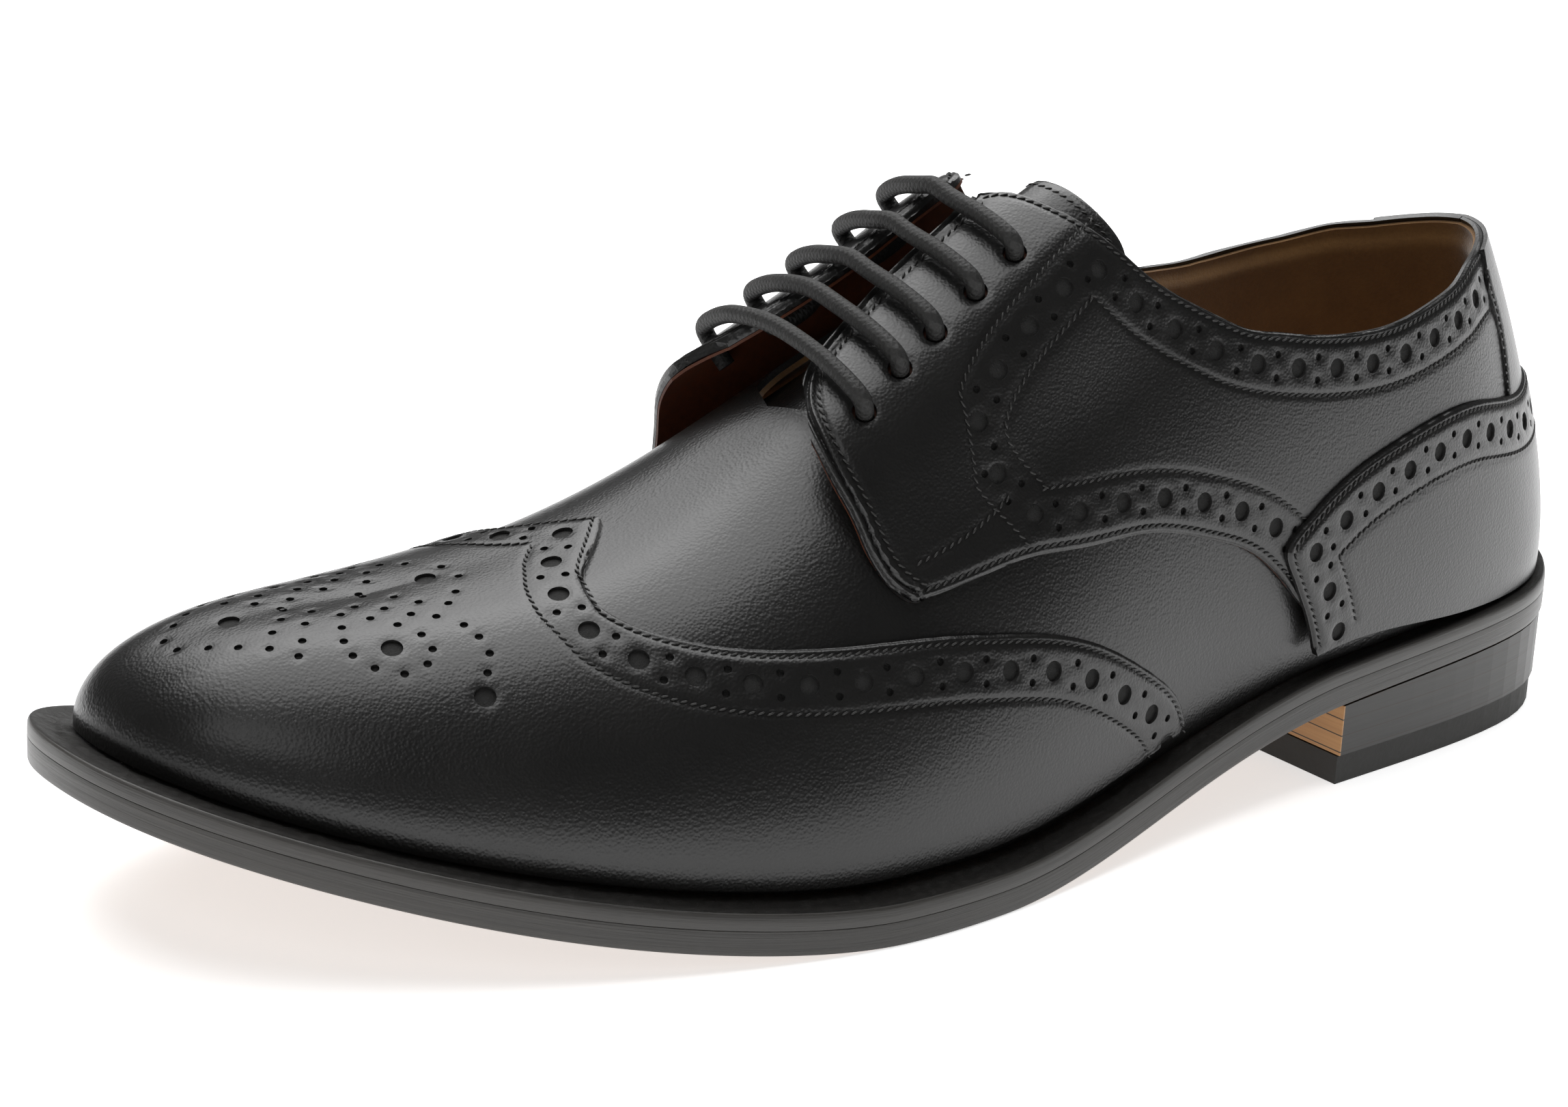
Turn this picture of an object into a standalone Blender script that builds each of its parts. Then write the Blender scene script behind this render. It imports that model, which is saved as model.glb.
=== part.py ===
"""Wing-tip derby shoe with brogue bands, a left shoe, built over its last.

Frame: metres, +X to the toe, +Y to the wearer's left, +Z up, origin at the
centre of the heel's flat underside.  Inside the functions the last is worked
out in "last" coordinates, whose X starts at the back of the feather line, and
to_frame() moves a finished point to the part's own frame.

The last is a loop of ribs.  Rib 0 stands at the tip of the toe, the ribs run
back along the left side to the centre of the heel, and return on the right.
Each rib goes from a spine point on the ridge (share 0) down to the feather
line, where upper meets welt (share 1).
"""

import bisect
import math

import bmesh
import bpy
from mathutils import Vector

# ---------------------------------------------------------------- sizes (m)
FEATHER_LENGTH = 0.300      # heel to toe along the feather line
BALL_WIDTH = 0.088          # feather width at the ball
INSTEP_HEIGHT = 0.102       # ridge over the feather line at the ankle
SWING = 0.026               # how far the toe curves inward
TOE_SPRING = 0.024          # rise of the outsole at its tip
SEAT_HEIGHT = 0.0192        # outsole's underside over the floor, heel's back
BREAST_HEIGHT = 0.0159      # the same at the heel's breast
HEEL_LENGTH = 0.079         # back of the feather line to the breast
BALL_STATION = 0.182        # where the forefoot stands on the floor
TREAD_FLAT = 0.022          # length of that flat spot

OUTSOLE_THICKNESS = 0.0045
WELT_THICKNESS = 0.0028
WELT_INSIDE = 0.0042        # how far the welt reaches in under the upper
WELT_STEP = 0.0002          # the welt's edge stands back from the sole's
TOP_PIECE_THICKNESS = 0.0055
HEEL_TAPER = 0.0008
INSOLE_THICKNESS = 0.0022

FIT = 0.0003                # gap between pieces that touch
OVERLAY_FIT = 0.0005        # gap between curved sheets that touch
TONGUE_FIT = 0.0013         # the tongue hangs a little more freely
UPPER_WALL = 0.0020
PANEL_WALL = 0.0013
TONGUE_WALL = 0.0016

LACE_DIAMETER = 0.0032
LACE_CLEARANCE = 0.0005
EYELET_RADIUS = LACE_DIAMETER / 2 + LACE_CLEARANCE
EYELET_COUNT = 5
FLAP_LIFT_LEFT = 0.0082     # how far the facings stand off the last
FLAP_LIFT_RIGHT = 0.0088
TONGUE_LIFT = 0.0035        # how far the tongue's middle rises with them
BULGE = 0.0020              # the most that a rib swells over its edge
MARGIN = 0.0090             # the most that the sole stands out past the last

# ---------------------------------------------------------------- the last
# foot, spine: shares of FEATHER_LENGTH; left, right: shares of BALL_WIDTH
# from the last's curved centreline; rise: share of INSTEP_HEIGHT; square:
# exponent of the rib's curve; bulge: share of BULGE; margin: share of MARGIN.
RIB_COLUMNS = ("foot", "left", "right", "spine", "rise", "square", "bulge",
               "margin")
RIBS = (
    (1.000, 0.000, 0.000, 0.838, 0.202, 2.20, 0.10, 1.00),
    (0.992, 0.138, 0.125, 0.833, 0.213, 2.30, 0.15, 1.00),
    (0.960, 0.262, 0.240, 0.820, 0.253, 2.20, 0.30, 1.00),
    (0.900, 0.375, 0.340, 0.793, 0.321, 2.10, 0.50, 0.94),
    (0.817, 0.466, 0.410, 0.753, 0.412, 2.10, 0.70, 0.94),
    (0.717, 0.530, 0.475, 0.697, 0.523, 2.10, 0.90, 0.89),
    (0.617, 0.535, 0.465, 0.617, 0.675, 2.05, 1.00, 0.89),
    (0.500, 0.466, 0.350, 0.510, 0.858, 2.20, 1.00, 0.72),
    (0.383, 0.392, 0.290, 0.397, 0.970, 2.30, 0.80, 0.56),
    (0.267, 0.358, 0.315, 0.293, 0.966, 2.70, 0.60, 0.44),
    (0.167, 0.325, 0.325, 0.213, 0.987, 2.10, 0.40, 0.46),
    (0.083, 0.257, 0.257, 0.185, 1.000, 1.55, 0.40, 0.60),
    (0.033, 0.154, 0.154, 0.172, 1.000, 1.43, 0.60, 0.60),
    (0.006, 0.000, 0.000, 0.170, 1.007, 1.40, 0.60, 0.59),
)
HALF = len(RIBS) - 1        # rib number at the centre of the heel
LOOP = 2 * HALF             # ribs in the whole loop
SWING_START = 0.30          # share of the length where the toe curve starts
RIDGE_BLEND = 0.70          # how far out a rib is drawn to the ridge's slope
RIDGE_FALL = 0.20           # the ridge's slope past its front end
BULGE_PEAK = 0.22           # share of a rib's rise where it bulges most

# ---------------------------------------------------------------- edges
# Each row is (rib, share down the rib).  They are drawn on the left side and
# mirrored to the right one.
COLLAR = ((7.25, 0.035), (7.38, 0.070), (7.47, 0.170), (7.58, 0.270),
          (7.75, 0.375), (7.95, 0.455), (8.25, 0.550), (8.50, 0.595),
          (8.75, 0.628), (9.05, 0.645), (9.45, 0.635), (10.1, 0.575),
          (10.7, 0.515), (11.4, 0.483), (12.2, 0.470), (13.0, 0.465))
FACING = ((7.25, 0.035), (7.05, 0.040), (6.80, 0.045), (6.55, 0.062),
          (6.30, 0.085), (6.10, 0.120), (5.97, 0.175), (5.91, 0.240),
          (5.89, 0.315), (5.91, 0.390), (5.93, 0.460), (5.99, 0.525),
          (6.09, 0.572))
QUARTER_FOOT = ((6.25, 0.585), (6.70, 0.618), (7.10, 0.673), (7.55, 0.725),
                (7.95, 0.791), (8.25, 0.850), (8.60, 0.938), (8.86, 0.982))
WING_EDGE = ((4.65, 0.000), (4.42, 0.100), (4.27, 0.190), (4.25, 0.270),
             (4.35, 0.345), (4.55, 0.415), (4.85, 0.480), (5.15, 0.525),
             (5.50, 0.565), (5.90, 0.610), (6.25, 0.655), (6.70, 0.725),
             (7.05, 0.790), (7.40, 0.865), (7.70, 0.933), (7.84, 0.982))
COUNTER_EDGE = ((13.0, 0.668), (12.2, 0.668), (11.5, 0.678), (10.8, 0.697),
                (10.15, 0.728), (9.40, 0.795), (9.00, 0.825), (8.65, 0.850),
                (8.45, 0.870), (8.53, 0.915), (8.64, 0.955), (8.72, 0.982))
THROAT = ((6.00, 0.000), (6.12, 0.130), (6.45, 0.220), (6.90, 0.270),
          (7.40, 0.330), (7.80, 0.430), (8.20, 0.560), (8.50, 0.618),
          (8.75, 0.651), (9.05, 0.668), (9.45, 0.658), (10.1, 0.598),
          (10.7, 0.538), (11.4, 0.506), (12.2, 0.493), (13.0, 0.488))
EYELETS = ((6.20, 0.255), (6.45, 0.228), (6.68, 0.213), (6.93, 0.200),
           (7.17, 0.190))
FOOT_SHARE = 0.982          # overlays stop this far down the ribs
TONGUE_FRONT, TONGUE_BACK = 5.45, 7.70
TONGUE_SHARE_FRONT, TONGUE_SHARE_BACK = 0.29, 0.38
TONGUE_HOLLOW = 0.20        # how far its back edge is cut in at the middle
TONGUE_ROUND = 0.28         # how far its back corners fall away, all in ribs

COLOURS = {
    "black_leather": ((0.016, 0.016, 0.018), 0.36),
    "black_tongue": ((0.018, 0.018, 0.020), 0.45),
    "sole_edge": ((0.030, 0.030, 0.031), 0.50),
    "welt_black": ((0.020, 0.019, 0.019), 0.75),
    "heel_tan": ((0.450, 0.230, 0.100), 0.60),
    "top_rubber": ((0.035, 0.035, 0.036), 0.70),
    "insole_tan": ((0.420, 0.230, 0.110), 0.80),
    "lace_black": ((0.015, 0.015, 0.016), 0.60),
}


# ---------------------------------------------------------------- splines
def solve_loop(values):
    """Second derivatives of the periodic cubic spline through values."""
    count = len(values)
    bend = [0.0] * count
    for _ in range(60):     # Gauss-Seidel, the system is strongly diagonal
        for i in range(count):
            before, after = (i - 1) % count, (i + 1) % count
            pull = 6 * (values[after] - 2 * values[i] + values[before])
            bend[i] = (pull - bend[before] - bend[after]) / 4
    return bend


def loop_column(name, mirror_name=None):
    """One column of RIBS carried round the loop, with its spline."""
    column = RIB_COLUMNS.index(name)
    values = [row[column] for row in RIBS]
    if mirror_name is None:
        back = values[1:-1]
    else:
        other = RIB_COLUMNS.index(mirror_name)
        back = [-row[other] for row in RIBS[1:-1]]
    values = values + back[::-1]
    return values, solve_loop(values)


SPLINES = {name: loop_column(name) for name in RIB_COLUMNS if name != "right"}
SPLINES["side"] = loop_column("left", "right")


def at_rib(name, rib):
    values, bend = SPLINES[name]
    rib %= LOOP
    low = int(rib)
    high, t = (low + 1) % LOOP, rib - int(rib)
    s = 1 - t
    return (values[low] * s + values[high] * t
            + ((s ** 3 - s) * bend[low] + (t ** 3 - t) * bend[high]) / 6)


def along(table, t):
    """Smooth curve through a table's rows, t from 0 to 1."""
    u = min(max(t, 0.0), 1.0) * (len(table) - 1)
    i = min(int(u), len(table) - 2)
    u -= i
    p1, p2 = table[i], table[i + 1]
    p0 = table[i - 1] if i else tuple(2 * a - b for a, b in zip(p1, p2))
    p3 = (table[i + 2] if i + 2 < len(table)
          else tuple(2 * b - a for a, b in zip(p1, p2)))
    return tuple(
        0.5 * (2 * b + (c - a) * u + (2 * a - 5 * b + 4 * c - d) * u ** 2
               + (3 * b - a - 3 * c + d) * u ** 3)
        for a, b, c, d in zip(p0, p1, p2, p3))


def share_on(table, rib):
    """The share of a table that is single-valued in its rib number."""
    if rib <= table[0][0]:
        return table[0][1]
    for i in range(len(table) - 1):
        if rib <= table[i + 1][0]:
            t = (rib - table[i][0]) / (table[i + 1][0] - table[i][0])
            return along(table, (i + t) / (len(table) - 1))[1]
    return table[-1][1]


def smooth(t):
    t = min(max(t, 0.0), 1.0)
    return t * t * (3 - 2 * t)


# ---------------------------------------------------------------- the form
def hermite(x0, y0, slope0, x1, y1, slope1, x):
    h = x1 - x0
    t = (x - x0) / h
    return ((2 * t ** 3 - 3 * t ** 2 + 1) * y0 + (t ** 3 - 2 * t ** 2 + t)
            * h * slope0 + (3 * t ** 2 - 2 * t ** 3) * y1
            + (t ** 3 - t ** 2) * h * slope1)


def tread(x):
    """Height of the outsole's underside over the floor at a station."""
    flat_back = BALL_STATION - TREAD_FLAT / 2
    flat_front = BALL_STATION + TREAD_FLAT / 2
    if x < HEEL_LENGTH:
        return hermite(0, SEAT_HEIGHT, -0.03, HEEL_LENGTH, BREAST_HEIGHT,
                       -0.07, x)
    if x < flat_back:
        return hermite(HEEL_LENGTH, BREAST_HEIGHT, -0.07, flat_back, 0, 0, x)
    if x < flat_front:
        return 0.0
    reach = FEATHER_LENGTH + MARGIN / 2 - flat_front
    return TOE_SPRING * ((x - flat_front) / reach) ** 1.7


WELT_BOTTOM = OUTSOLE_THICKNESS + FIT
WELT_TOP = WELT_BOTTOM + WELT_THICKNESS


def feather_height(x):
    return tread(x) + WELT_TOP + FIT


def swing(x):
    start = SWING_START * FEATHER_LENGTH
    t = max(x - start, 0.0) / (FEATHER_LENGTH - start)
    return -SWING * t * t


def foot(rib):
    x = at_rib("foot", rib) * FEATHER_LENGTH
    return x, at_rib("side", rib) * BALL_WIDTH + swing(x)


def ridge_line():
    """The ridge as (station, height) pairs from the heel to the toe."""
    line = []
    for i in range(401):
        rib = HALF * (1 - i / 400)
        foot_x = at_rib("foot", rib) * FEATHER_LENGTH
        line.append((at_rib("spine", rib) * FEATHER_LENGTH,
                     feather_height(foot_x)
                     + at_rib("rise", rib) * INSTEP_HEIGHT))
    return line


RIDGE = ridge_line()


def ridge_height(x):
    """Height of the ridge at a station, drawn on past its front end."""
    if x >= RIDGE[-1][0]:
        return RIDGE[-1][1] - RIDGE_FALL * (x - RIDGE[-1][0])
    i = max(bisect.bisect_right(RIDGE, (x, 9.0)), 1)
    (x0, z0), (x1, z1) = RIDGE[i - 1], RIDGE[i]
    return z0 + (z1 - z0) * max(x - x0, 0.0) / (x1 - x0)


def last_point(rib, share):
    foot_x, foot_y = foot(rib)
    spine_x = at_rib("spine", rib) * FEATHER_LENGTH
    spine_y = swing(spine_x)
    power = 2 / at_rib("square", rib)
    angle = min(max(share, 0.0), 1.0) * math.pi / 2
    out = math.sin(angle) ** power
    up = max(math.cos(angle), 0.0) ** power
    dx, dy = foot_x - spine_x, foot_y - spine_y
    peak = up / BULGE_PEAK
    out += (at_rib("bulge", rib) * BULGE * peak * math.exp(1 - peak)
            * math.sin(angle) / math.hypot(dx, dy))
    # a forward rib leaves the sloping ridge along it, so no crease is left
    slip = ((ridge_height(spine_x + dx * out) - ridge_height(spine_x))
            * max(1 - out / RIDGE_BLEND, 0.0) ** 2 if dx > 0 else 0.0)
    return Vector((spine_x + dx * out, spine_y + dy * out,
                   feather_height(foot_x)
                   + at_rib("rise", rib) * INSTEP_HEIGHT * up + slip))


def side_normal(rib, share):
    share = min(max(share, 0.03), 0.985)
    across = last_point(rib + 0.05, share) - last_point(rib - 0.05, share)
    down = last_point(rib, share + 0.01) - last_point(rib, share - 0.01)
    return down.cross(across).normalized()


def last_normal(rib, share):
    """Outward normal, the same from both sides where ribs meet the ridge."""
    normal = side_normal(rib, share)
    near = 0.08
    if share < near:
        ridge = side_normal(rib, 0.03) + side_normal(LOOP - rib, 0.03)
        t = share / near
        normal = (normal * t + ridge.normalized() * (1 - t)).normalized()
    return normal


def on_last(rib, share, off=0.0):
    return last_point(rib, share) + last_normal(rib, share) * off


def flap_lift(rib, share):
    """How far a quarter stands off the last near its facing."""
    rib %= LOOP
    most = FLAP_LIFT_LEFT
    if rib > HALF:
        rib, most = LOOP - rib, FLAP_LIFT_RIGHT
    return (most * (1 - smooth((share - 0.20) / 0.34))
            * (1 - smooth((rib - 7.15) / 1.3)))


def on_quarter(rib, share, off=0.0):
    return on_last(rib, share, OVERLAY_FIT + flap_lift(rib, share) + off)


HEEL_CENTRE_X = HEEL_LENGTH / 2


def to_frame(point):
    return Vector((point[0] - HEEL_CENTRE_X, point[1], point[2]))


# ---------------------------------------------------------------- meshes
def material(name):
    found = bpy.data.materials.get(name)
    if found:
        return found
    colour, roughness = COLOURS[name]
    made = bpy.data.materials.new(name)
    made.use_nodes = True
    shader = made.node_tree.nodes["Principled BSDF"]
    shader.inputs["Base Color"].default_value = (*colour, 1)
    shader.inputs["Roughness"].default_value = roughness
    return made


def add_object(name, bm, finish, weld=1e-6):
    bmesh.ops.remove_doubles(bm, verts=bm.verts, dist=weld)
    mesh = bpy.data.meshes.new(name)
    bm.to_mesh(mesh)
    bm.free()
    mesh.materials.append(material(finish))
    mesh.shade_smooth()
    mesh.set_sharp_from_angle(angle=math.radians(35))
    made = bpy.data.objects.new(name, mesh)
    SHOE.objects.link(made)
    return made


def add_faces(bm, rows, closed=False):
    """Skin rows of points; rows run along the ribs, columns down them."""
    grid = [[bm.verts.new(to_frame(p)) for p in row] for row in rows]
    count = len(grid)
    for i in range(count if closed else count - 1):
        row, after = grid[i], grid[(i + 1) % count]
        for j in range(len(row) - 1):
            bm.faces.new((row[j], row[j + 1], after[j + 1], after[j]))
    return grid


def thicken(made, wall, outward):
    shell = made.modifiers.new("wall", "SOLIDIFY")
    shell.thickness = wall
    shell.offset = 1 if outward else -1
    shell.use_even_offset = True
    shell.use_quality_normals = True


def steps(start, stop, count):
    return [start + (stop - start) * i / count for i in range(count + 1)]


def patch(top, bottom, across, down, place):
    """Rows of points between two edges, each a function of t."""
    rows = []
    for t in steps(0, 1, across):
        rib0, share0 = top(t)
        rib1, share1 = bottom(t)
        rows.append([place(rib0 + (rib1 - rib0) * s,
                           share0 + (share1 - share0) * s)
                     for s in steps(0, 1, down)])
    return rows


def mirrored(place):
    return lambda rib, share, *off: place(LOOP - rib, share, *off)


# ---------------------------------------------------------------- the sole
def outline(rib, off):
    """Point of the feather line moved out by off, in plan."""
    x0, y0 = foot(rib - 0.02)
    x1, y1 = foot(rib + 0.02)
    x, y = foot(rib)
    length = math.hypot(x1 - x0, y1 - y0)
    return x + (y1 - y0) / length * off, y - (x1 - x0) / length * off


def margin(rib):
    return at_rib("margin", rib) * MARGIN


def sole_edge(rib, less=0.0):
    return outline(rib, margin(rib) - less)


def slab(name, finish, pairs, low, high):
    """Solid over left/right outline pairs, between two height functions.

    The first or last pair may be one point (the tip), or a straight end.
    """
    bm = bmesh.new()
    rings = []
    for left, right in pairs:
        ring = [(x, y, height(x)) for (x, y), height in
                ((left, high), (right, high), (right, low), (left, low))]
        rings.append([bm.verts.new(to_frame(p)) for p in ring])
    for ring, after in zip(rings, rings[1:]):
        for i in range(4):
            j = (i + 1) % 4
            bm.faces.new((ring[i], ring[j], after[j], after[i]))
    bm.faces.new(rings[0][::-1])
    bm.faces.new(rings[-1])
    bmesh.ops.remove_doubles(bm, verts=bm.verts, dist=1e-6)
    bmesh.ops.dissolve_degenerate(bm, edges=bm.edges, dist=1e-7)
    bmesh.ops.recalc_face_normals(bm, faces=bm.faces)
    return add_object(name, bm, finish)


def whole_outline(off, count):
    """Pairs from the toe to the heel's back."""
    pairs = []
    for rib in steps(0, HALF, count):
        pairs.append((off(rib), off(LOOP - rib)))
    return pairs


def rib_at_station(off, x, start, stop):
    """The rib between start and stop whose outline point is at x."""
    for _ in range(40):
        middle = (start + stop) / 2
        if off(middle)[0] > x:
            start = middle
        else:
            stop = middle
    return (start + stop) / 2


def heel_outline(less, count):
    """Pairs from the straight breast to the heel's back."""
    def off(rib):
        return sole_edge(rib, less)

    left = rib_at_station(off, HEEL_LENGTH, 6, HALF)
    right = rib_at_station(lambda rib: off(LOOP - rib), HEEL_LENGTH, 6, HALF)
    pairs = []
    for t in steps(0, 1, count):
        a = off(left + (HALF - left) * t)
        b = off(LOOP - right - (HALF - right) * t)
        pairs.append((a, b))
    pairs[0] = ((HEEL_LENGTH, pairs[0][0][1]), (HEEL_LENGTH, pairs[0][1][1]))
    return pairs


def make_outsole():
    return slab("outsole", "sole_edge", whole_outline(sole_edge, 52), tread,
                lambda x: tread(x) + OUTSOLE_THICKNESS)


def make_insole():
    inset = WELT_INSIDE + FIT
    low = WELT_BOTTOM
    return slab("insole", "insole_tan",
                whole_outline(lambda rib: outline(rib, -inset), 40),
                lambda x: tread(x) + low,
                lambda x: tread(x) + low + INSOLE_THICKNESS)


def make_heel():
    stack = slab("heel_stack", "heel_tan", heel_outline(0.0003, 18),
                 lambda x: TOP_PIECE_THICKNESS + FIT,
                 lambda x: tread(x) - FIT)
    piece = slab("top_piece", "top_rubber", heel_outline(HEEL_TAPER, 18),
                 lambda x: 0.0, lambda x: TOP_PIECE_THICKNESS)
    return stack, piece


def make_welt():
    bm = bmesh.new()
    rings = []
    for rib in steps(0, LOOP, 88)[:-1]:
        outer = sole_edge(rib, WELT_STEP)
        inner = outline(rib, -WELT_INSIDE)
        ring = []
        for (x, y), rise in ((outer, WELT_TOP), (inner, WELT_TOP),
                             (inner, WELT_BOTTOM), (outer, WELT_BOTTOM)):
            ring.append(bm.verts.new(to_frame((x, y, tread(x) + rise))))
        rings.append(ring)
    for i, ring in enumerate(rings):
        after = rings[(i + 1) % len(rings)]
        for j in range(4):
            bm.faces.new((ring[j], ring[(j + 1) % 4], after[(j + 1) % 4],
                          after[j]))
    bmesh.ops.recalc_face_normals(bm, faces=bm.faces)
    return add_object("welt", bm, "welt_black")


# ---------------------------------------------------------------- the upper
def make_upper():
    """Vamp and back in one wall, open at throat, collar and underneath."""
    start = THROAT[0][0]
    half = (steps(0, 3.6, 14) + steps(3.6, start, 6)[1:]
            + steps(start, start + 0.6, 6)[1:]
            + steps(start + 0.6, 8.8, 7)[1:] + steps(8.8, HALF, 10)[1:])
    rows = []
    for rib in half + [LOOP - rib for rib in half[-2:0:-1]]:
        side = min(rib, LOOP - rib)
        top = share_on(THROAT, side) if side > start else 0.0
        rows.append([on_last(rib, top + (1 - top) * s)
                     for s in steps(0, 1, 8)])
    bm = bmesh.new()
    add_faces(bm, rows, closed=True)
    made = add_object("upper", bm, "black_leather", weld=2e-5)
    thicken(made, UPPER_WALL, outward=False)
    return made


def make_wing_cap():
    """The toe cap whose wings run back along both sides."""
    peak = WING_EDGE[0][0]
    spine_share = 0.36      # share of the edge that runs along the ridge
    tail = WING_EDGE[-1][0]

    def top(t):
        if t < spine_share:
            return peak * t / spine_share, 0.0
        return along(WING_EDGE, (t - spine_share) / (1 - spine_share))

    def bottom(t):
        return tail * t ** 1.15, FOOT_SHARE

    def place(rib, share):
        return on_last(rib, share, OVERLAY_FIT)

    bm = bmesh.new()
    left = patch(top, bottom, 38, 7, place)
    right = patch(top, bottom, 38, 7, mirrored(place))
    add_faces(bm, right[:0:-1] + left)
    made = add_object("wing_cap", bm, "black_leather", weld=2e-5)
    thicken(made, PANEL_WALL, outward=True)
    return made


def quarter_edges():
    """Top and bottom edge of a quarter, from its nose to the heel's back."""
    nose = 6                # row of FACING at the nose
    upper_edge = FACING[:nose][::-1] + COLLAR[1:]
    lower_edge = FACING[nose + 1:] + QUARTER_FOOT
    seam = HALF - 0.012     # the back seam's half gap
    turn = 0.62             # where the lower edge reaches the feather line

    def top(t):
        rib, share = along(upper_edge, t)
        return min(rib, seam), share

    def bottom(t):
        if t < turn:
            return along(lower_edge, t / turn)
        start = QUARTER_FOOT[-1][0]
        return (min(start + (HALF - start) * (t - turn) / (1 - turn), seam),
                FOOT_SHARE)

    return top, bottom


def make_quarter(name, place):
    top, bottom = quarter_edges()
    rows = patch(top, bottom, 32, 6, place)
    bm = bmesh.new()
    add_faces(bm, rows)
    bmesh.ops.recalc_face_normals(bm, faces=bm.faces)
    return add_object(name, bm, "black_leather")


def face_outward(made, centre):
    """Turn an open sheet's faces away from a point inside the shoe."""
    mesh = made.data
    inside = to_frame(centre)
    vote = sum((face.center - inside).dot(face.normal) * face.area
               for face in mesh.polygons)
    if vote < 0:
        mesh.flip_normals()


def punch_eyelets(made, left_side):
    for number, (rib, share) in enumerate(EYELETS):
        if not left_side:
            rib = LOOP - rib
        centre = to_frame(on_quarter(rib, share, PANEL_WALL / 2))
        axis = (on_quarter(rib, share, 0.01) - on_quarter(rib, share, 0))
        bpy.ops.mesh.primitive_cylinder_add(vertices=12,
                                            radius=EYELET_RADIUS, depth=0.008)
        cutter = bpy.context.object
        cutter.name = f"{made.name}_punch_{number}"
        cutter.location = centre
        cutter.rotation_euler = axis.to_track_quat("Z", "Y").to_euler()
        cutter.hide_render = True
        cutter.display_type = "WIRE"
        for collection in cutter.users_collection:
            collection.objects.unlink(cutter)
        CUTTERS.objects.link(cutter)
        cut = made.modifiers.new(f"eyelet_{number}", "BOOLEAN")
        cut.operation = "DIFFERENCE"
        cut.object = cutter


def make_quarters():
    for name, place, left_side in (
            ("quarter_left", on_quarter, True),
            ("quarter_right", mirrored(on_quarter), False)):
        made = make_quarter(name, place)
        face_outward(made, (0.09, 0.0, 0.05))
        thicken(made, PANEL_WALL, outward=True)
        punch_eyelets(made, left_side)


def make_counter():
    """Heel counter laid over both quarters."""
    off = OVERLAY_FIT + PANEL_WALL + 1.5 * OVERLAY_FIT

    def top(t):
        return along(COUNTER_EDGE, 1 - t)

    def bottom(t):
        start = COUNTER_EDGE[-1][0] + 0.02
        return start + (HALF - start) * t, FOOT_SHARE + 0.006

    def place(rib, share):
        return on_last(rib, share, off)

    left = patch(top, bottom, 18, 4, place)
    right = patch(top, bottom, 18, 4, mirrored(place))
    bm = bmesh.new()
    add_faces(bm, left + right[-2::-1])
    made = add_object("heel_counter", bm, "black_leather")
    face_outward(made, (0.06, 0.0, 0.05))
    thicken(made, PANEL_WALL, outward=True)
    return made


def make_tongue():
    """Sheet under the throat, sewn to the vamp's back edge."""
    under = UPPER_WALL + TONGUE_FIT
    rows = []
    for t in steps(0, 1, 12):
        row = []
        wide = (TONGUE_SHARE_FRONT
                + (TONGUE_SHARE_BACK - TONGUE_SHARE_FRONT) * t)
        for s in steps(-1, 1, 10):
            back = (TONGUE_BACK + TONGUE_HOLLOW * s * s
                    - TONGUE_ROUND * s ** 8)
            rib = TONGUE_FRONT + (back - TONGUE_FRONT) * t
            place = rib if s >= 0 else LOOP - rib
            lift = (TONGUE_LIFT * smooth((rib - 6.3) / 1.2)
                    * (1 - smooth(wide * abs(s) / 0.30)))
            row.append(on_last(place, wide * abs(s), lift - under))
        rows.append(row)
    bm = bmesh.new()
    add_faces(bm, rows)
    made = add_object("tongue", bm, "black_tongue")
    face_outward(made, (0.15, 0.0, 0.03))
    thicken(made, TONGUE_WALL, outward=False)
    return made


# ---------------------------------------------------------------- the lace
def lace_bar(number, from_left):
    """Points of one bar: up out of one eyelet, over, down into the other."""
    rib, share = EYELETS[number]
    clear = PANEL_WALL + LACE_DIAMETER / 2 + LACE_CLEARANCE
    points = []
    for side in (1, -1):
        place = on_quarter if side == 1 else mirrored(on_quarter)
        edge = share_on(FACING[:7][::-1], max(rib, 6.0))
        half = [place(rib, share, -0.0036), place(rib, share, -0.0010),
                place(rib, share, PANEL_WALL + 0.0022),
                place(rib, share - 0.020, clear + 0.0010)]
        for t in (0.5, 1.0):
            half.append(place(rib, share - 0.020
                              + (edge - share + 0.020) * t, clear + 0.0008))
        points.append(half)
    left, right = points
    middle = (left[-1] + right[-1]) / 2
    middle.z = max(left[-1].z, right[-1].z) + 0.0008
    bar = left + [middle] + right[::-1]
    return bar if from_left else bar[::-1]


def make_lace():
    """Five bars through the eyelets, joined under the facings."""
    points = []
    for number in range(EYELET_COUNT):
        bar = lace_bar(number, from_left=number % 2 == 1)
        points.extend(bar)
    curve = bpy.data.curves.new("lace", "CURVE")
    curve.dimensions = "3D"
    curve.bevel_depth = LACE_DIAMETER / 2
    curve.bevel_resolution = 2
    curve.use_fill_caps = True
    line = curve.splines.new("POLY")
    smooth_points = rounded(points, 2)
    line.points.add(len(smooth_points) - 1)
    for spot, point in zip(line.points, smooth_points):
        spot.co = (*to_frame(point), 1)
    source = bpy.data.objects.new("lace_route", curve)
    SHOE.objects.link(source)
    bpy.context.view_layer.update()
    graph = bpy.context.evaluated_depsgraph_get()
    mesh = bpy.data.meshes.new_from_object(source.evaluated_get(graph))
    bm = bmesh.new()
    bm.from_mesh(mesh)
    bmesh.ops.remove_doubles(bm, verts=bm.verts, dist=1e-6)
    bmesh.ops.recalc_face_normals(bm, faces=bm.faces)
    bpy.data.objects.remove(source)
    return add_object("lace", bm, "lace_black")


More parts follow.
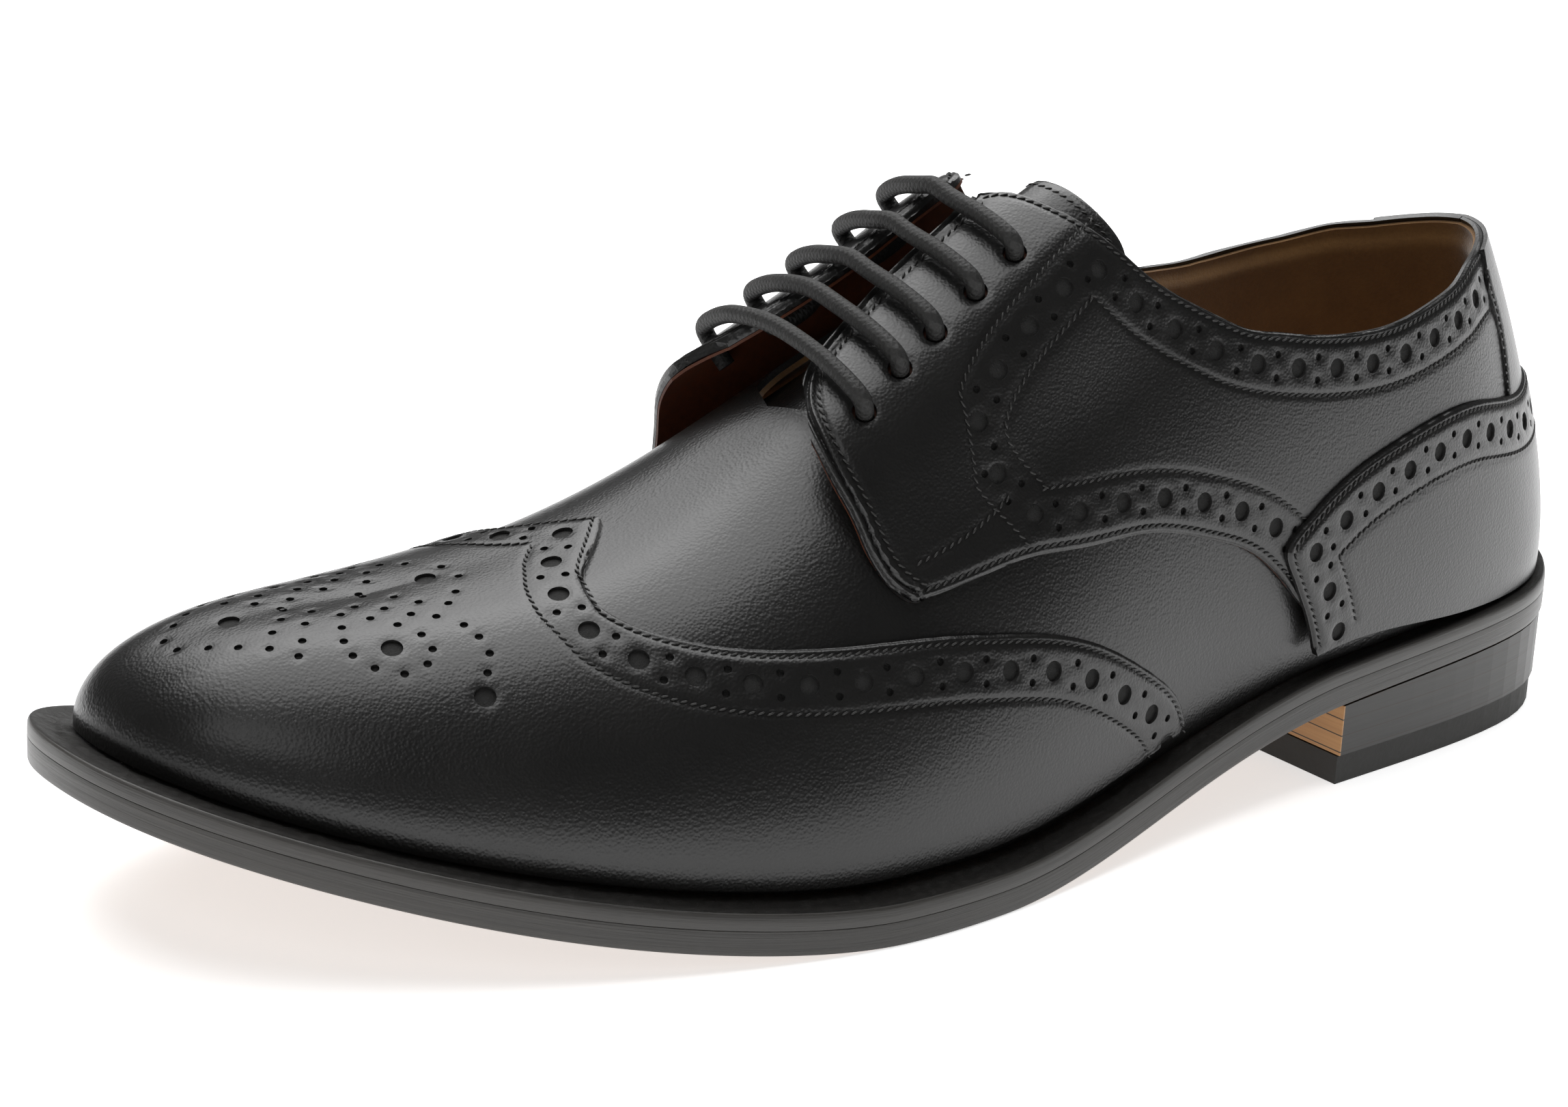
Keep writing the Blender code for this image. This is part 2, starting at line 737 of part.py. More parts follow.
def rounded(points, rounds):
    """Corner cutting that keeps both ends."""
    for _ in range(rounds):
        cut = [points[0]]
        for a, b in zip(points, points[1:]):
            cut.append(a.lerp(b, 0.25))
            cut.append(a.lerp(b, 0.75))
        points = cut + [points[-1]]
    kept = [points[0]]
    for point in points[1:]:
        if (point - kept[-1]).length > 0.0026:
            kept.append(point)
    kept[-1] = points[-1]
    return kept


# ---------------------------------------------------------------- assembly
def new_collection(name):
    made = bpy.data.collections.new(name)
    bpy.context.scene.collection.children.link(made)
    return made


for old in list(bpy.data.objects):
    bpy.data.objects.remove(old)
SHOE = new_collection("brogue_shoe")
CUTTERS = new_collection("cutters")

make_outsole()
make_heel()
make_welt()
make_insole()
make_upper()
make_wing_cap()
make_quarters()
make_counter()
make_tongue()
make_lace()
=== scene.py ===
"""Dressed look of the black wing-tip derby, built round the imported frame.

The shoe is drawn over its last.  A place on the last is a pair (rib, share):
ribs run from the toe's tip (0) back along the left side to the heel's centre
(13) and forward again on the right side (26 is the tip once more), and share
runs down a rib from the ridge (0) to the feather line (1).
"""

import math

import bmesh
import bpy
import numpy as np
from bpy.props import (FloatProperty, IntProperty, PointerProperty,
                       StringProperty)
from mathutils import Matrix, Vector
from mathutils.kdtree import KDTree


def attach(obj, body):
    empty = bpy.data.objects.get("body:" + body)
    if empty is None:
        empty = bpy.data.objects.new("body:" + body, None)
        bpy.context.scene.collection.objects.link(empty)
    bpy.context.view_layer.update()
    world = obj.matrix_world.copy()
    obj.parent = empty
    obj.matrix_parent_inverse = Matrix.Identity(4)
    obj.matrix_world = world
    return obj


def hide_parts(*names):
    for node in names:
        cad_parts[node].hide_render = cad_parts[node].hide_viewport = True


bl_info = {
    "name": "Brogue shoe",
    "version": (1, 0, 0),
    "blender": (4, 5, 0),
    "location": "View3D > Sidebar > Shoe",
    "description": "Dresses a wing-tip derby in leather, thread and lace",
    "category": "Object",
}

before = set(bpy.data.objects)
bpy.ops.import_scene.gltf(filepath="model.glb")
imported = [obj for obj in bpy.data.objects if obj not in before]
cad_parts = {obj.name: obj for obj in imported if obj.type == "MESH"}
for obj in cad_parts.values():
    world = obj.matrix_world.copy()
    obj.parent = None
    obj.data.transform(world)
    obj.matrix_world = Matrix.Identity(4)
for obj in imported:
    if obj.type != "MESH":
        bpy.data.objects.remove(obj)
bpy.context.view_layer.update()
MM = 0.001

# ------------------------------------------------------------ the last (m)
FEATHER_LENGTH = 0.300
BALL_WIDTH = 0.088
INSTEP_HEIGHT = 0.102
SWING = 0.026
TOE_SPRING = 0.024
SEAT_HEIGHT = 0.0192
BREAST_HEIGHT = 0.0159
HEEL_LENGTH = 0.079
BALL_STATION = 0.182
TREAD_FLAT = 0.022
OUTSOLE_THICKNESS = 0.0045
WELT_THICKNESS = 0.0028
WELT_INSIDE = 0.0042
WELT_STEP = 0.0002
FIT = 0.0003
OVERLAY_FIT = 0.0005
TONGUE_FIT = 0.0013
UPPER_WALL = 0.0020
PANEL_WALL = 0.0013
TONGUE_WALL = 0.0016
LACE_DIAMETER = 0.0032
LACE_CLEARANCE = 0.0005
EYELET_RADIUS = LACE_DIAMETER / 2 + LACE_CLEARANCE
FLAP_LIFT = {"left": 0.0082, "right": 0.0088}
TONGUE_LIFT = 0.0035
BULGE = 0.0020
MARGIN = 0.0090             # how far the sole stands out past the feather
SWING_START = 0.30
BULGE_PEAK = 0.22
RIDGE_BLEND = 0.70
RIDGE_FALL = 0.20
WELT_BOTTOM = OUTSOLE_THICKNESS + FIT
WELT_TOP = WELT_BOTTOM + WELT_THICKNESS

RIB_COLUMNS = ("foot", "left", "right", "spine", "rise", "square", "bulge",
               "margin")
RIBS = (
    (1.000, 0.000, 0.000, 0.838, 0.202, 2.20, 0.10, 1.00),
    (0.992, 0.138, 0.125, 0.833, 0.213, 2.30, 0.15, 1.00),
    (0.960, 0.262, 0.240, 0.820, 0.253, 2.20, 0.30, 1.00),
    (0.900, 0.375, 0.340, 0.793, 0.321, 2.10, 0.50, 0.94),
    (0.817, 0.466, 0.410, 0.753, 0.412, 2.10, 0.70, 0.94),
    (0.717, 0.530, 0.475, 0.697, 0.523, 2.10, 0.90, 0.89),
    (0.617, 0.535, 0.465, 0.617, 0.675, 2.05, 1.00, 0.89),
    (0.500, 0.466, 0.350, 0.510, 0.858, 2.20, 1.00, 0.72),
    (0.383, 0.392, 0.290, 0.397, 0.970, 2.30, 0.80, 0.56),
    (0.267, 0.358, 0.315, 0.293, 0.966, 2.70, 0.60, 0.44),
    (0.167, 0.325, 0.325, 0.213, 0.987, 2.10, 0.40, 0.46),
    (0.083, 0.257, 0.257, 0.185, 1.000, 1.55, 0.40, 0.60),
    (0.033, 0.154, 0.154, 0.172, 1.000, 1.43, 0.60, 0.60),
    (0.006, 0.000, 0.000, 0.170, 1.007, 1.40, 0.60, 0.59),
)
HALF = len(RIBS) - 1
LOOP = 2 * HALF

# Pattern edges, rows of (rib, share) on the left side
COLLAR = ((7.25, 0.035), (7.38, 0.070), (7.47, 0.170), (7.58, 0.270),
          (7.75, 0.375), (7.95, 0.455), (8.25, 0.550), (8.50, 0.595),
          (8.75, 0.628), (9.05, 0.645), (9.45, 0.635), (10.1, 0.575),
          (10.7, 0.515), (11.4, 0.483), (12.2, 0.470), (13.0, 0.465))
FACING = ((7.25, 0.035), (7.05, 0.040), (6.80, 0.045), (6.55, 0.062),
          (6.30, 0.085), (6.10, 0.120), (5.97, 0.175), (5.91, 0.240),
          (5.89, 0.315), (5.91, 0.390), (5.93, 0.460), (5.99, 0.525),
          (6.09, 0.572))
QUARTER_FOOT = ((6.25, 0.585), (6.70, 0.618), (7.10, 0.673), (7.55, 0.725),
                (7.95, 0.791), (8.25, 0.850), (8.60, 0.938), (8.86, 0.982))
WING_EDGE = ((4.65, 0.000), (4.42, 0.100), (4.27, 0.190), (4.25, 0.270),
             (4.35, 0.345), (4.55, 0.415), (4.85, 0.480), (5.15, 0.525),
             (5.50, 0.565), (5.90, 0.610), (6.25, 0.655), (6.70, 0.725),
             (7.05, 0.790), (7.40, 0.865), (7.70, 0.933), (7.84, 0.982))
COUNTER_EDGE = ((13.0, 0.668), (12.2, 0.668), (11.5, 0.678), (10.8, 0.697),
                (10.15, 0.728), (9.40, 0.795), (9.00, 0.825), (8.65, 0.850),
                (8.45, 0.870), (8.53, 0.915), (8.64, 0.955), (8.72, 0.982))
THROAT = ((6.00, 0.000), (6.12, 0.130), (6.45, 0.220), (6.90, 0.270),
          (7.40, 0.330), (7.80, 0.430), (8.20, 0.560), (8.50, 0.618),
          (8.75, 0.651), (9.05, 0.668), (9.45, 0.658), (10.1, 0.598),
          (10.7, 0.538), (11.4, 0.506), (12.2, 0.493), (13.0, 0.488))
EYELETS = ((6.20, 0.255), (6.45, 0.228), (6.68, 0.213), (6.93, 0.200),
           (7.17, 0.190))
# Middle of the band that runs down behind the eyelets
FACING_BAND = ((7.62, 0.275), (7.45, 0.283), (7.20, 0.300), (7.00, 0.312),
               (6.80, 0.338), (6.67, 0.376), (6.64, 0.425), (6.69, 0.480),
               (6.77, 0.535), (6.86, 0.595))
FACING_CROSS = ((6.17, 0.520), (6.30, 0.525), (6.50, 0.528), (6.70, 0.520))
STAY_RIB = 11.35            # the back stay covers what lies behind this rib
NOSE = 6                    # row of FACING at the facing's rounded nose
FACING_ROW = 3.4 * MM       # second stitch row behind the facing's edge
STAY_SEAM = 0.12            # ribs by which the collar's row stops before it
STITCH_SLANT = 0.42         # turn of each stitch on its row, in radians
THROUGH = 4 * MM            # an eyelet's punch goes through the panel
PRESSED = 0.5 * MM          # how much closer sewn layers lie than the solids
ROUNDING = 0.34 * MM        # reach of a panel's rounded edge
GROOVE = 0.62 * MM          # reach of the groove that a seam pulls
DIMPLE = 0.50 * MM          # reach of the dip round a punched hole
PAIR_SPREAD = 2.05 * MM     # small holes stand this far from a band's middle
FOOT_SHARE = 0.982          # where the panels end above the welt
ON_RIDGE = 0.012            # shares below this lie on the centreline
TONGUE_FRONT, TONGUE_BACK = 5.45, 7.70
TONGUE_SHARE_FRONT, TONGUE_SHARE_BACK = 0.29, 0.38
TONGUE_HOLLOW, TONGUE_ROUND = 0.20, 0.28

# Toe medallion, charted on the left half of the toe, (rib, share)
MEDALLION_BIG = ((0.00, 0.360), (1.90, 0.000), (2.70, 0.392), (3.50, 0.550))
MEDALLION_SMALL = (
    # ring of the side loop
    (1.65, 0.217), (2.20, 0.250), (2.60, 0.292), (2.90, 0.342),
    (3.05, 0.400), (3.05, 0.450), (2.90, 0.483), (2.65, 0.467),
    (2.40, 0.425), (2.20, 0.367), (2.00, 0.300),
    # curl towards the wing
    (3.25, 0.317), (3.40, 0.367), (3.50, 0.425), (3.50, 0.483),
    # fan at the front
    (0.25, 0.525), (0.70, 0.475), (1.10, 0.442), (1.50, 0.425),
    (1.90, 0.442), (1.75, 0.375), (1.20, 0.350), (1.40, 0.283),
    (0.80, 0.275), (0.85, 0.200), (0.10, 0.233),
    # loop over the centreline
    (1.55, 0.158), (2.20, 0.192), (2.65, 0.242), (2.95, 0.267),
    (3.00, 0.208), (3.00, 0.150), (2.85, 0.050), (2.60, 0.175),
    (2.00, 0.108), (0.45, 0.067),
)
BACK_STAY = ((11.30, 0.480), (11.05, 0.530), (11.10, 0.600), (10.95, 0.690))
# Folded edge of a facing in mm: rise, distance from the edge, width
FOLD = ((0.50, 0.80, 0.50), (-0.45, 1.55, 0.28), (0.30, 2.20, 0.42))


# ------------------------------------------------------------ settings
def measure(name, about, millimetres):
    return FloatProperty(name=name, description=about,
                         default=millimetres * MM, unit="LENGTH")


def tone(name, about, hexes):
    return StringProperty(name=name, description=f"{about}, sRGB hex",
                          default=hexes)


class ShoeSizes(bpy.types.PropertyGroup):
    big_hole: measure("Big hole", "Width of the large punched holes", 3.6)
    small_hole: measure("Small hole", "Width of the small punched holes", 1.4)
    punch_depth: measure("Punch depth", "Depth of a punched hole", 0.75)
    hole_step: measure("Hole step", "Distance between two large holes", 9.6)
    band_width: measure(
        "Band width", "Distance between a band's stitch rows", 9.6)
    stitch_pitch: measure(
        "Stitch pitch", "Distance from stitch to stitch", 1.6)
    thread: measure("Thread", "Thickness of the sewing thread", 0.42)
    edge_row: measure(
        "Edge row", "First stitch row's distance to an edge", 1.3)
    sink: measure("Sink", "How deep thread and punch pull the leather", 0.26)
    lace_around: IntProperty(
        name="Lace sides", description="Faces around the lace", default=20)


class ShoeColours(bpy.types.PropertyGroup):
    leather: tone("Leather", "Black calf", "0f0f0f")
    leather_light: tone("Leather, light", "Its lighter clouds", "191817")
    thread: tone("Thread", "Sewing thread", "121212")
    thread_light: tone("Thread, light", "Its lit plies", "2e2d2b")
    lining: tone("Lining", "Suede collar lining", "5d3f20")
    lining_light: tone("Lining, light", "Its raised nap", "9c7443")
    facing: tone("Facing", "Lining under the facings", "3a190b")
    facing_light: tone("Facing, light", "Its worn grain", "6e3718")
    sole_edge: tone("Sole edge", "Inked and waxed sole edge", "131313")
    sole_edge_light: tone("Sole edge, light", "Its rubbed layers", "474440")
    heel: tone("Heel breast", "Bare stacked leather", "9a6c3f")
    heel_light: tone("Heel breast, light", "Its pale layers", "cf9f68")
    insole: tone("Insole", "Sock leather", "86602f")
    insole_light: tone("Insole, light", "Its lighter grain", "ab8252")
    floor: tone("Floor", "Studio floor", "f4f4f4")


def sizes():
    return bpy.context.scene.shoe_sizes


def tones(name):
    """The dark and the light tone of one of the colours."""
    chosen = bpy.context.scene.shoe_colours
    return getattr(chosen, name), getattr(chosen, f"{name}_light")


# ------------------------------------------------------------ the last's form
def loop_splines():
    """Every column of RIBS carried round the loop, with its spline."""
    across = np.eye(LOOP)
    matrix = 4 * across + np.roll(across, 1, 0) + np.roll(across, -1, 0)
    table = np.array(RIBS)
    made = {}
    for name in ("foot", "side") + RIB_COLUMNS[3:]:
        if name == "side":
            front, back = table[:, 1], -table[1:-1, 2]
        else:
            front = table[:, RIB_COLUMNS.index(name)]
            back = front[1:-1]
        values = np.concatenate([front, back[::-1]])
        pull = 6 * (np.roll(values, -1) - 2 * values + np.roll(values, 1))
        made[name] = values, np.linalg.solve(matrix, pull)
    return made


SPLINES = loop_splines()


def at_rib(name, rib):
    values, bend = SPLINES[name]
    rib = np.mod(rib, LOOP)
    low = np.floor(rib).astype(int) % LOOP
    high = (low + 1) % LOOP
    t = rib - np.floor(rib)
    s = 1 - t
    return (values[low] * s + values[high] * t
            + ((s ** 3 - s) * bend[low] + (t ** 3 - t) * bend[high]) / 6)


def smooth(t):
    t = np.clip(t, 0, 1)
    return t * t * (3 - 2 * t)


def hermite(x0, y0, slope0, x1, y1, slope1, x):
    h = x1 - x0
    t = (x - x0) / h
    return ((2 * t ** 3 - 3 * t ** 2 + 1) * y0
            + (t ** 3 - 2 * t ** 2 + t) * h * slope0
            + (3 * t ** 2 - 2 * t ** 3) * y1 + (t ** 3 - t ** 2) * h * slope1)


def tread(x):
    """Height of the outsole's underside over the floor, x from the heel."""
    back = BALL_STATION - TREAD_FLAT / 2
    front = BALL_STATION + TREAD_FLAT / 2
    seat = hermite(0, SEAT_HEIGHT, -0.03, HEEL_LENGTH, BREAST_HEIGHT, -0.07,
                   x)
    arch = hermite(HEEL_LENGTH, BREAST_HEIGHT, -0.07, back, 0, 0,
                   np.clip(x, HEEL_LENGTH, back))
    reach = FEATHER_LENGTH + MARGIN / 2 - front
    toe = TOE_SPRING * (np.clip(x - front, 0, None) / reach) ** 1.7
    return np.where(x < HEEL_LENGTH, seat,
                    np.where(x < back, arch, np.where(x < front, 0, toe)))


def swing(x):
    start = SWING_START * FEATHER_LENGTH
    return -SWING * (np.clip(x - start, 0, None)
                     / (FEATHER_LENGTH - start)) ** 2


def foot(rib):
    x = at_rib("foot", rib) * FEATHER_LENGTH
    return x, at_rib("side", rib) * BALL_WIDTH + swing(x)


def ridge_line():
    """The ridge as stations and heights from the heel to the toe."""
    rib = HALF * (1 - np.arange(401) / 400)
    return (at_rib("spine", rib) * FEATHER_LENGTH,
            tread(at_rib("foot", rib) * FEATHER_LENGTH) + WELT_TOP + FIT
            + at_rib("rise", rib) * INSTEP_HEIGHT)


RIDGE = ridge_line()


def ridge_height(x):
    """Height of the ridge at a station, drawn on past its end."""
    return (np.interp(x, *RIDGE)
            - RIDGE_FALL * np.clip(x - RIDGE[0][-1], 0, None))


def last_point(rib, share):
    rib, share = np.broadcast_arrays(np.asarray(rib, float),
                                     np.asarray(share, float))
    foot_x, foot_y = foot(rib)
    spine_x = at_rib("spine", rib) * FEATHER_LENGTH
    spine_y = swing(spine_x)
    power = 2 / at_rib("square", rib)
    angle = np.clip(share, 0, 1) * math.pi / 2
    out = np.sin(angle) ** power
    up = np.clip(np.cos(angle), 0, None) ** power
    dx, dy = foot_x - spine_x, foot_y - spine_y
    peak = up / BULGE_PEAK
    out = out + (at_rib("bulge", rib) * BULGE * peak * np.exp(1 - peak)
                 * np.sin(angle) / np.hypot(dx, dy))
    height = (tread(foot_x) + WELT_TOP + FIT
              + at_rib("rise", rib) * INSTEP_HEIGHT * up)
    slip = (ridge_height(spine_x + dx * out) - ridge_height(spine_x))
    height = height + np.where(
        dx > 0, slip * np.clip(1 - out / RIDGE_BLEND, 0, None) ** 2, 0.0)
    return np.stack([spine_x + dx * out - HEEL_LENGTH / 2,
                     spine_y + dy * out, height], -1)


def unit(vectors):
    length = np.linalg.norm(vectors, axis=-1, keepdims=True)
    return vectors / np.maximum(length, 1e-12)


def side_normal(rib, share):
    share = np.clip(share, 0.03, 0.985)
    across = last_point(rib + 0.05, share) - last_point(rib - 0.05, share)
    down = last_point(rib, share + 0.01) - last_point(rib, share - 0.01)
    return unit(np.cross(down, across))


def last_normal(rib, share):
    rib, share = np.broadcast_arrays(np.asarray(rib, float),
                                     np.asarray(share, float))
    near = 0.08
    ridge = unit(side_normal(rib, 0.03) + side_normal(LOOP - rib, 0.03))
    t = np.clip(share / near, 0, 1)[..., None]
    return unit(side_normal(rib, share) * t + ridge * (1 - t))


def on_last(rib, share, off=0.0):
    off = np.asarray(off, float)
    return last_point(rib, share) + last_normal(rib, share) * off[..., None]


def flap_lift(rib, share):
    """How far a quarter stands off the last near its facing."""
    rib = np.mod(rib, LOOP)
    most = np.where(rib > HALF, FLAP_LIFT["right"], FLAP_LIFT["left"])
    rib = np.where(rib > HALF, LOOP - rib, rib)
    return (most * (1 - smooth((share - 0.20) / 0.34))
            * (1 - smooth((rib - 7.15) / 1.3)))


def on_quarter(rib, share, off=0.0):
    return on_last(rib, share, OVERLAY_FIT + flap_lift(rib, share) + off)


def on_wing(rib, share, off=0.0):
    return on_last(rib, share, OVERLAY_FIT - 0.5 * PRESSED + off)


def on_counter(rib, share, off=0.0):
    return on_last(rib, share, 2.5 * OVERLAY_FIT + PANEL_WALL - PRESSED
                   + off)


def mirrored(place):
    return lambda rib, share, off=0.0: place(LOOP - rib, share, off)


def along(table, t):
    """Smooth curve through a table's rows, t from 0 to 1, as two arrays."""
    rows = np.array(table, float)
    rows = np.vstack([2 * rows[0] - rows[1], rows, 2 * rows[-1] - rows[-2]])
    u = np.clip(np.atleast_1d(t), 0, 1) * (len(table) - 1)
    i = np.minimum(u.astype(int), len(table) - 2)
    u = (u - i)[:, None]
    a, b, c, d = rows[i], rows[i + 1], rows[i + 2], rows[i + 3]
    point = 0.5 * (2 * b + (c - a) * u + (2 * a - 5 * b + 4 * c - d) * u ** 2
                   + (3 * b - a - 3 * c + d) * u ** 3)
    return point[:, 0], point[:, 1]


def share_on(table, rib):
    """The share of a table that is single-valued in its rib number."""
    knots = [row[0] for row in table]
    t = np.interp(rib, knots, np.linspace(0, 1, len(table)))
    return along(table, np.ravel(t))[1].reshape(np.shape(t))


# ------------------------------------------------------------ lines on leather
def running(points):
    """Length along a line of points, at each point."""
    return np.concatenate([[0], np.cumsum(np.linalg.norm(
        np.diff(points, axis=0), axis=1))])


def under_collar(curve, margin=0.0):
    """The part of a curve that lies on leather, below the collar's edge."""
    rib, share = curve
    keep = (rib < COLLAR[0][0]) | (share > share_on(COLLAR, rib) + margin)
    return rib[keep], share[keep]


def point_tree(points):
    tree = KDTree(len(points))
    for i, point in enumerate(points):
        tree.insert(point, i)
    tree.balance()
    return tree


def distance_to(lines, points):
    """Distance from each point to the nearest of many points in space."""
    tree = point_tree(np.vstack(lines))
    return np.array([tree.find(p)[2] for p in points])


class Panel:
    """One leather panel: its surface, its stitch rows and its holes."""

    def __init__(self, name, place, wall):
        self.name, self.place, self.wall = name, place, wall
        self.rows, self.holes, self.rim = [], [], []
        self.skive, self.thinned = 1.5 * MM, 0.35 * MM

    def top(self, rib, share, off=0.0):
        return self.place(rib, share, self.wall + off)

    def upright(self, rib, share):
        """Outward normals of the panel itself."""
        share = np.clip(share, 0.012, 0.985)
        h = 0.01
        by_rib = self.top(rib + h, share) - self.top(rib - h, share)
        by_share = self.top(rib, share + h) - self.top(rib, share - h)
        way = unit(np.cross(by_share, by_rib))
        out = self.top(rib, share, MM) - self.top(rib, share)
        return way * np.sign((way * out).sum(-1, keepdims=True))

    def fall(self, points):
        """How thin the panel is pared towards its edge, and how near."""
        edge = distance_to([self.top(*curve) for curve in self.rim], points)
        return self.thinned * np.exp(-(edge / self.skive) ** 2), edge

    def resample(self, curve, step):
        """The curve (rib, share) with points a real distance apart."""
        run = running(self.top(*curve))
        count = max(int(round(run[-1] / step)), 1)
        at = np.linspace(0, run[-1], count + 1)
        return tuple(np.interp(at, run, c) for c in curve)

    def inset(self, curve, distance, side=1, lowest=0.0):
        """Parallel curve on the leather, distance metres to one side."""
        rib, share = self.resample(curve, MM)
        count = max(int(math.ceil(abs(distance) / (0.8 * MM))), 1)
        step = distance / count * side
        h = 0.01
        for _ in range(count):
            tangent = unit(np.gradient(self.top(rib, share), axis=0))
            by_rib = (self.top(rib + h, share)
                      - self.top(rib - h, share)) / (2 * h)
            share = np.clip(share, 0.0, 0.99)
            low = np.clip(share - h, 0.0, 1)
            high = np.clip(share + h, 0.0, 1)
            by_share = ((self.top(rib, high) - self.top(rib, low))
                        / (high - low)[:, None])
            way = np.cross(unit(np.cross(by_share, by_rib)), tangent) * step
            a = (by_rib * by_rib).sum(1)
            b = (by_rib * by_share).sum(1)
            c = (by_share * by_share).sum(1)
            d, e = (way * by_rib).sum(1), (way * by_share).sum(1)
            det = a * c - b * b
            rib = rib + (c * d - b * e) / det
            share = share + (a * e - b * d) / det
            for _ in range(2):
                for line in (rib, share):
                    line[1:-1] = (line[:-2] + 2 * line[1:-1] + line[2:]) / 4
        keep = (share > lowest) & (share < 0.985)
        rib, share = rib[keep], share[keep]
        # points that slipped back over a tight bend are left out
        gap = distance_to([self.top(*curve)], self.top(rib, share))
        keep = gap > 0.94 * abs(distance)
        return rib[keep], share[keep]

    def nearest(self, curve, other):
        """Indices where two curves come nearest to each other."""
        a, b = self.top(*curve), self.top(*other)
        gap = np.linalg.norm(a[:, None] - b[None], axis=2)
        return np.unravel_index(gap.argmin(), gap.shape)

    def clear_of(self, curve, *edges):
        """The part of a curve that keeps its gap from each (edge, gap)."""
        for edge, gap in edges:
            near = distance_to([self.top(*edge)], self.top(*curve))
            curve = tuple(c[near > gap] for c in curve)
        return curve

    def stitch(self, curve):
        if len(curve[0]) > 3:
            self.rows.append(self.resample(curve, 0.4 * MM))

    def punch(self, rib, share, kind):
        """Mark a hole: kind 0 small, 1 big, 2 an eyelet."""
        self.holes.append((float(rib), float(share), int(kind)))

    def band(self, row, side=1, lowest=0.0):
        """Second stitch row and the holes beside a first stitch row."""
        wide = sizes().band_width
        self.stitch(self.inset(row, wide, side, lowest))
        self.row_of_holes(self.inset(row, wide / 2, side, lowest))

    def row_of_holes(self, middle):
        """Large holes along a line with a pair of small ones between."""
        rib, share = self.resample(middle, sizes().hole_step / 2)
        pairs = [self.inset(middle, PAIR_SPREAD, side) for side in (1, -1)]
        for i in range(len(rib)):
            if i % 2 == 0:
                self.punch(rib[i], share[i], 1)
                continue
            aim = self.top(rib[i:i + 1], share[i:i + 1])
            for line in pairs:
                gap = np.linalg.norm(self.top(*line) - aim, axis=1)
                near = gap.argmin()
                self.punch(line[0][near], line[1][near], 0)

    def mirror(self, edge):
        """Repeat the edge, rows and holes on the shoe's other side."""
        self.rim = [edge, (LOOP - edge[0], edge[1])]
        self.rows += [(LOOP - r, s) for r, s in self.rows]
        self.holes += [(LOOP - r, s, kind) for r, s, kind in self.holes
                       if s > ON_RIDGE and 0.05 < r < HALF - 0.1]


# ------------------------------------------------------------ meshes
def finish(obj, slot, replaces=()):
    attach(obj, "root")
    if replaces:
        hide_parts(*replaces)


def link(name, mesh):
    obj = bpy.data.objects.new(name, mesh)
    bpy.context.scene.collection.objects.link(obj)
    return obj


def grid_faces(rows, cols, closed):
    """Quads over a grid of points; closed joins the last row to the first."""
    index = np.arange(rows * cols).reshape(rows, cols)
    if closed:
        index = np.vstack([index, index[:1]])
    return np.stack([index[:-1, :-1], index[:-1, 1:], index[1:, 1:],
                     index[1:, :-1]], -1).reshape(-1, 4)


def welded(points, near=5e-6):
    """For each point the first point that lies at the same place."""
    tree = point_tree(points)
    return np.array([min(hit[1] for hit in tree.find_range(p, near))
                     for p in points])


def shell_mesh(name, high, low, closed=False):
    """Closed sheet between two grids of points, rows by columns."""
    rows, cols = high.shape[:2]
    count = rows * cols
    first = welded(high.reshape(-1, 3))
    faces, edges = [], {}
    for quad in first[grid_faces(rows, cols, closed)].tolist():
        face = [v for i, v in enumerate(quad) if v != quad[i - 1]]
        if len(set(face)) < 3 or len(set(face)) < len(face):
            continue
        faces.append(face)
        for a, b in zip(face, face[1:] + face[:1]):
            edges[(a, b)] = edges.get((a, b), 0) + 1
    sheet = faces + [[v + count for v in face[::-1]] for face in faces]
    sheet += [[b, a, a + count, b + count] for a, b in edges
              if (b, a) not in edges]
    mesh = bpy.data.meshes.new(name)
    mesh.from_pydata(np.concatenate([high.reshape(-1, 3),
                                     low.reshape(-1, 3)]).tolist(), [],
                     sheet)
    bm = bmesh.new()
    bm.from_mesh(mesh)
    bmesh.ops.delete(bm, geom=[v for v in bm.verts if not v.link_faces],
                     context="VERTS")
    bmesh.ops.recalc_face_normals(bm, faces=bm.faces)
    bm.to_mesh(mesh)
    bm.free()
    return mesh


def shade(mesh, angle=42):
    mesh.shade_smooth()
    mesh.set_sharp_from_angle(angle=math.radians(angle))


def sheet(name, high, low, finish_name, slot, replaces=(), closed=False):
    """A finished piece between two grids of points."""
    mesh = shell_mesh(name, high, low, closed)
    mesh.materials.append(material(finish_name))
    shade(mesh)
    finish(link(name, mesh), slot, replaces)


def fine_ends(count, first, length):
    """Shares from 0 to 1 whose first and last steps are real sizes."""
    ends = np.cumsum((0,) + tuple(first)) / length
    middle = np.linspace(ends[-1], 1 - ends[-1], max(count, 2))
    return np.concatenate([ends[:-1], middle, (1 - ends[:-1])[::-1]])


RIM_STEPS = (0.14 * MM, 0.16 * MM, 0.20 * MM, 0.26 * MM, 0.30 * MM,
             0.34 * MM, 0.38 * MM, 0.42 * MM, 0.46 * MM, 0.50 * MM)


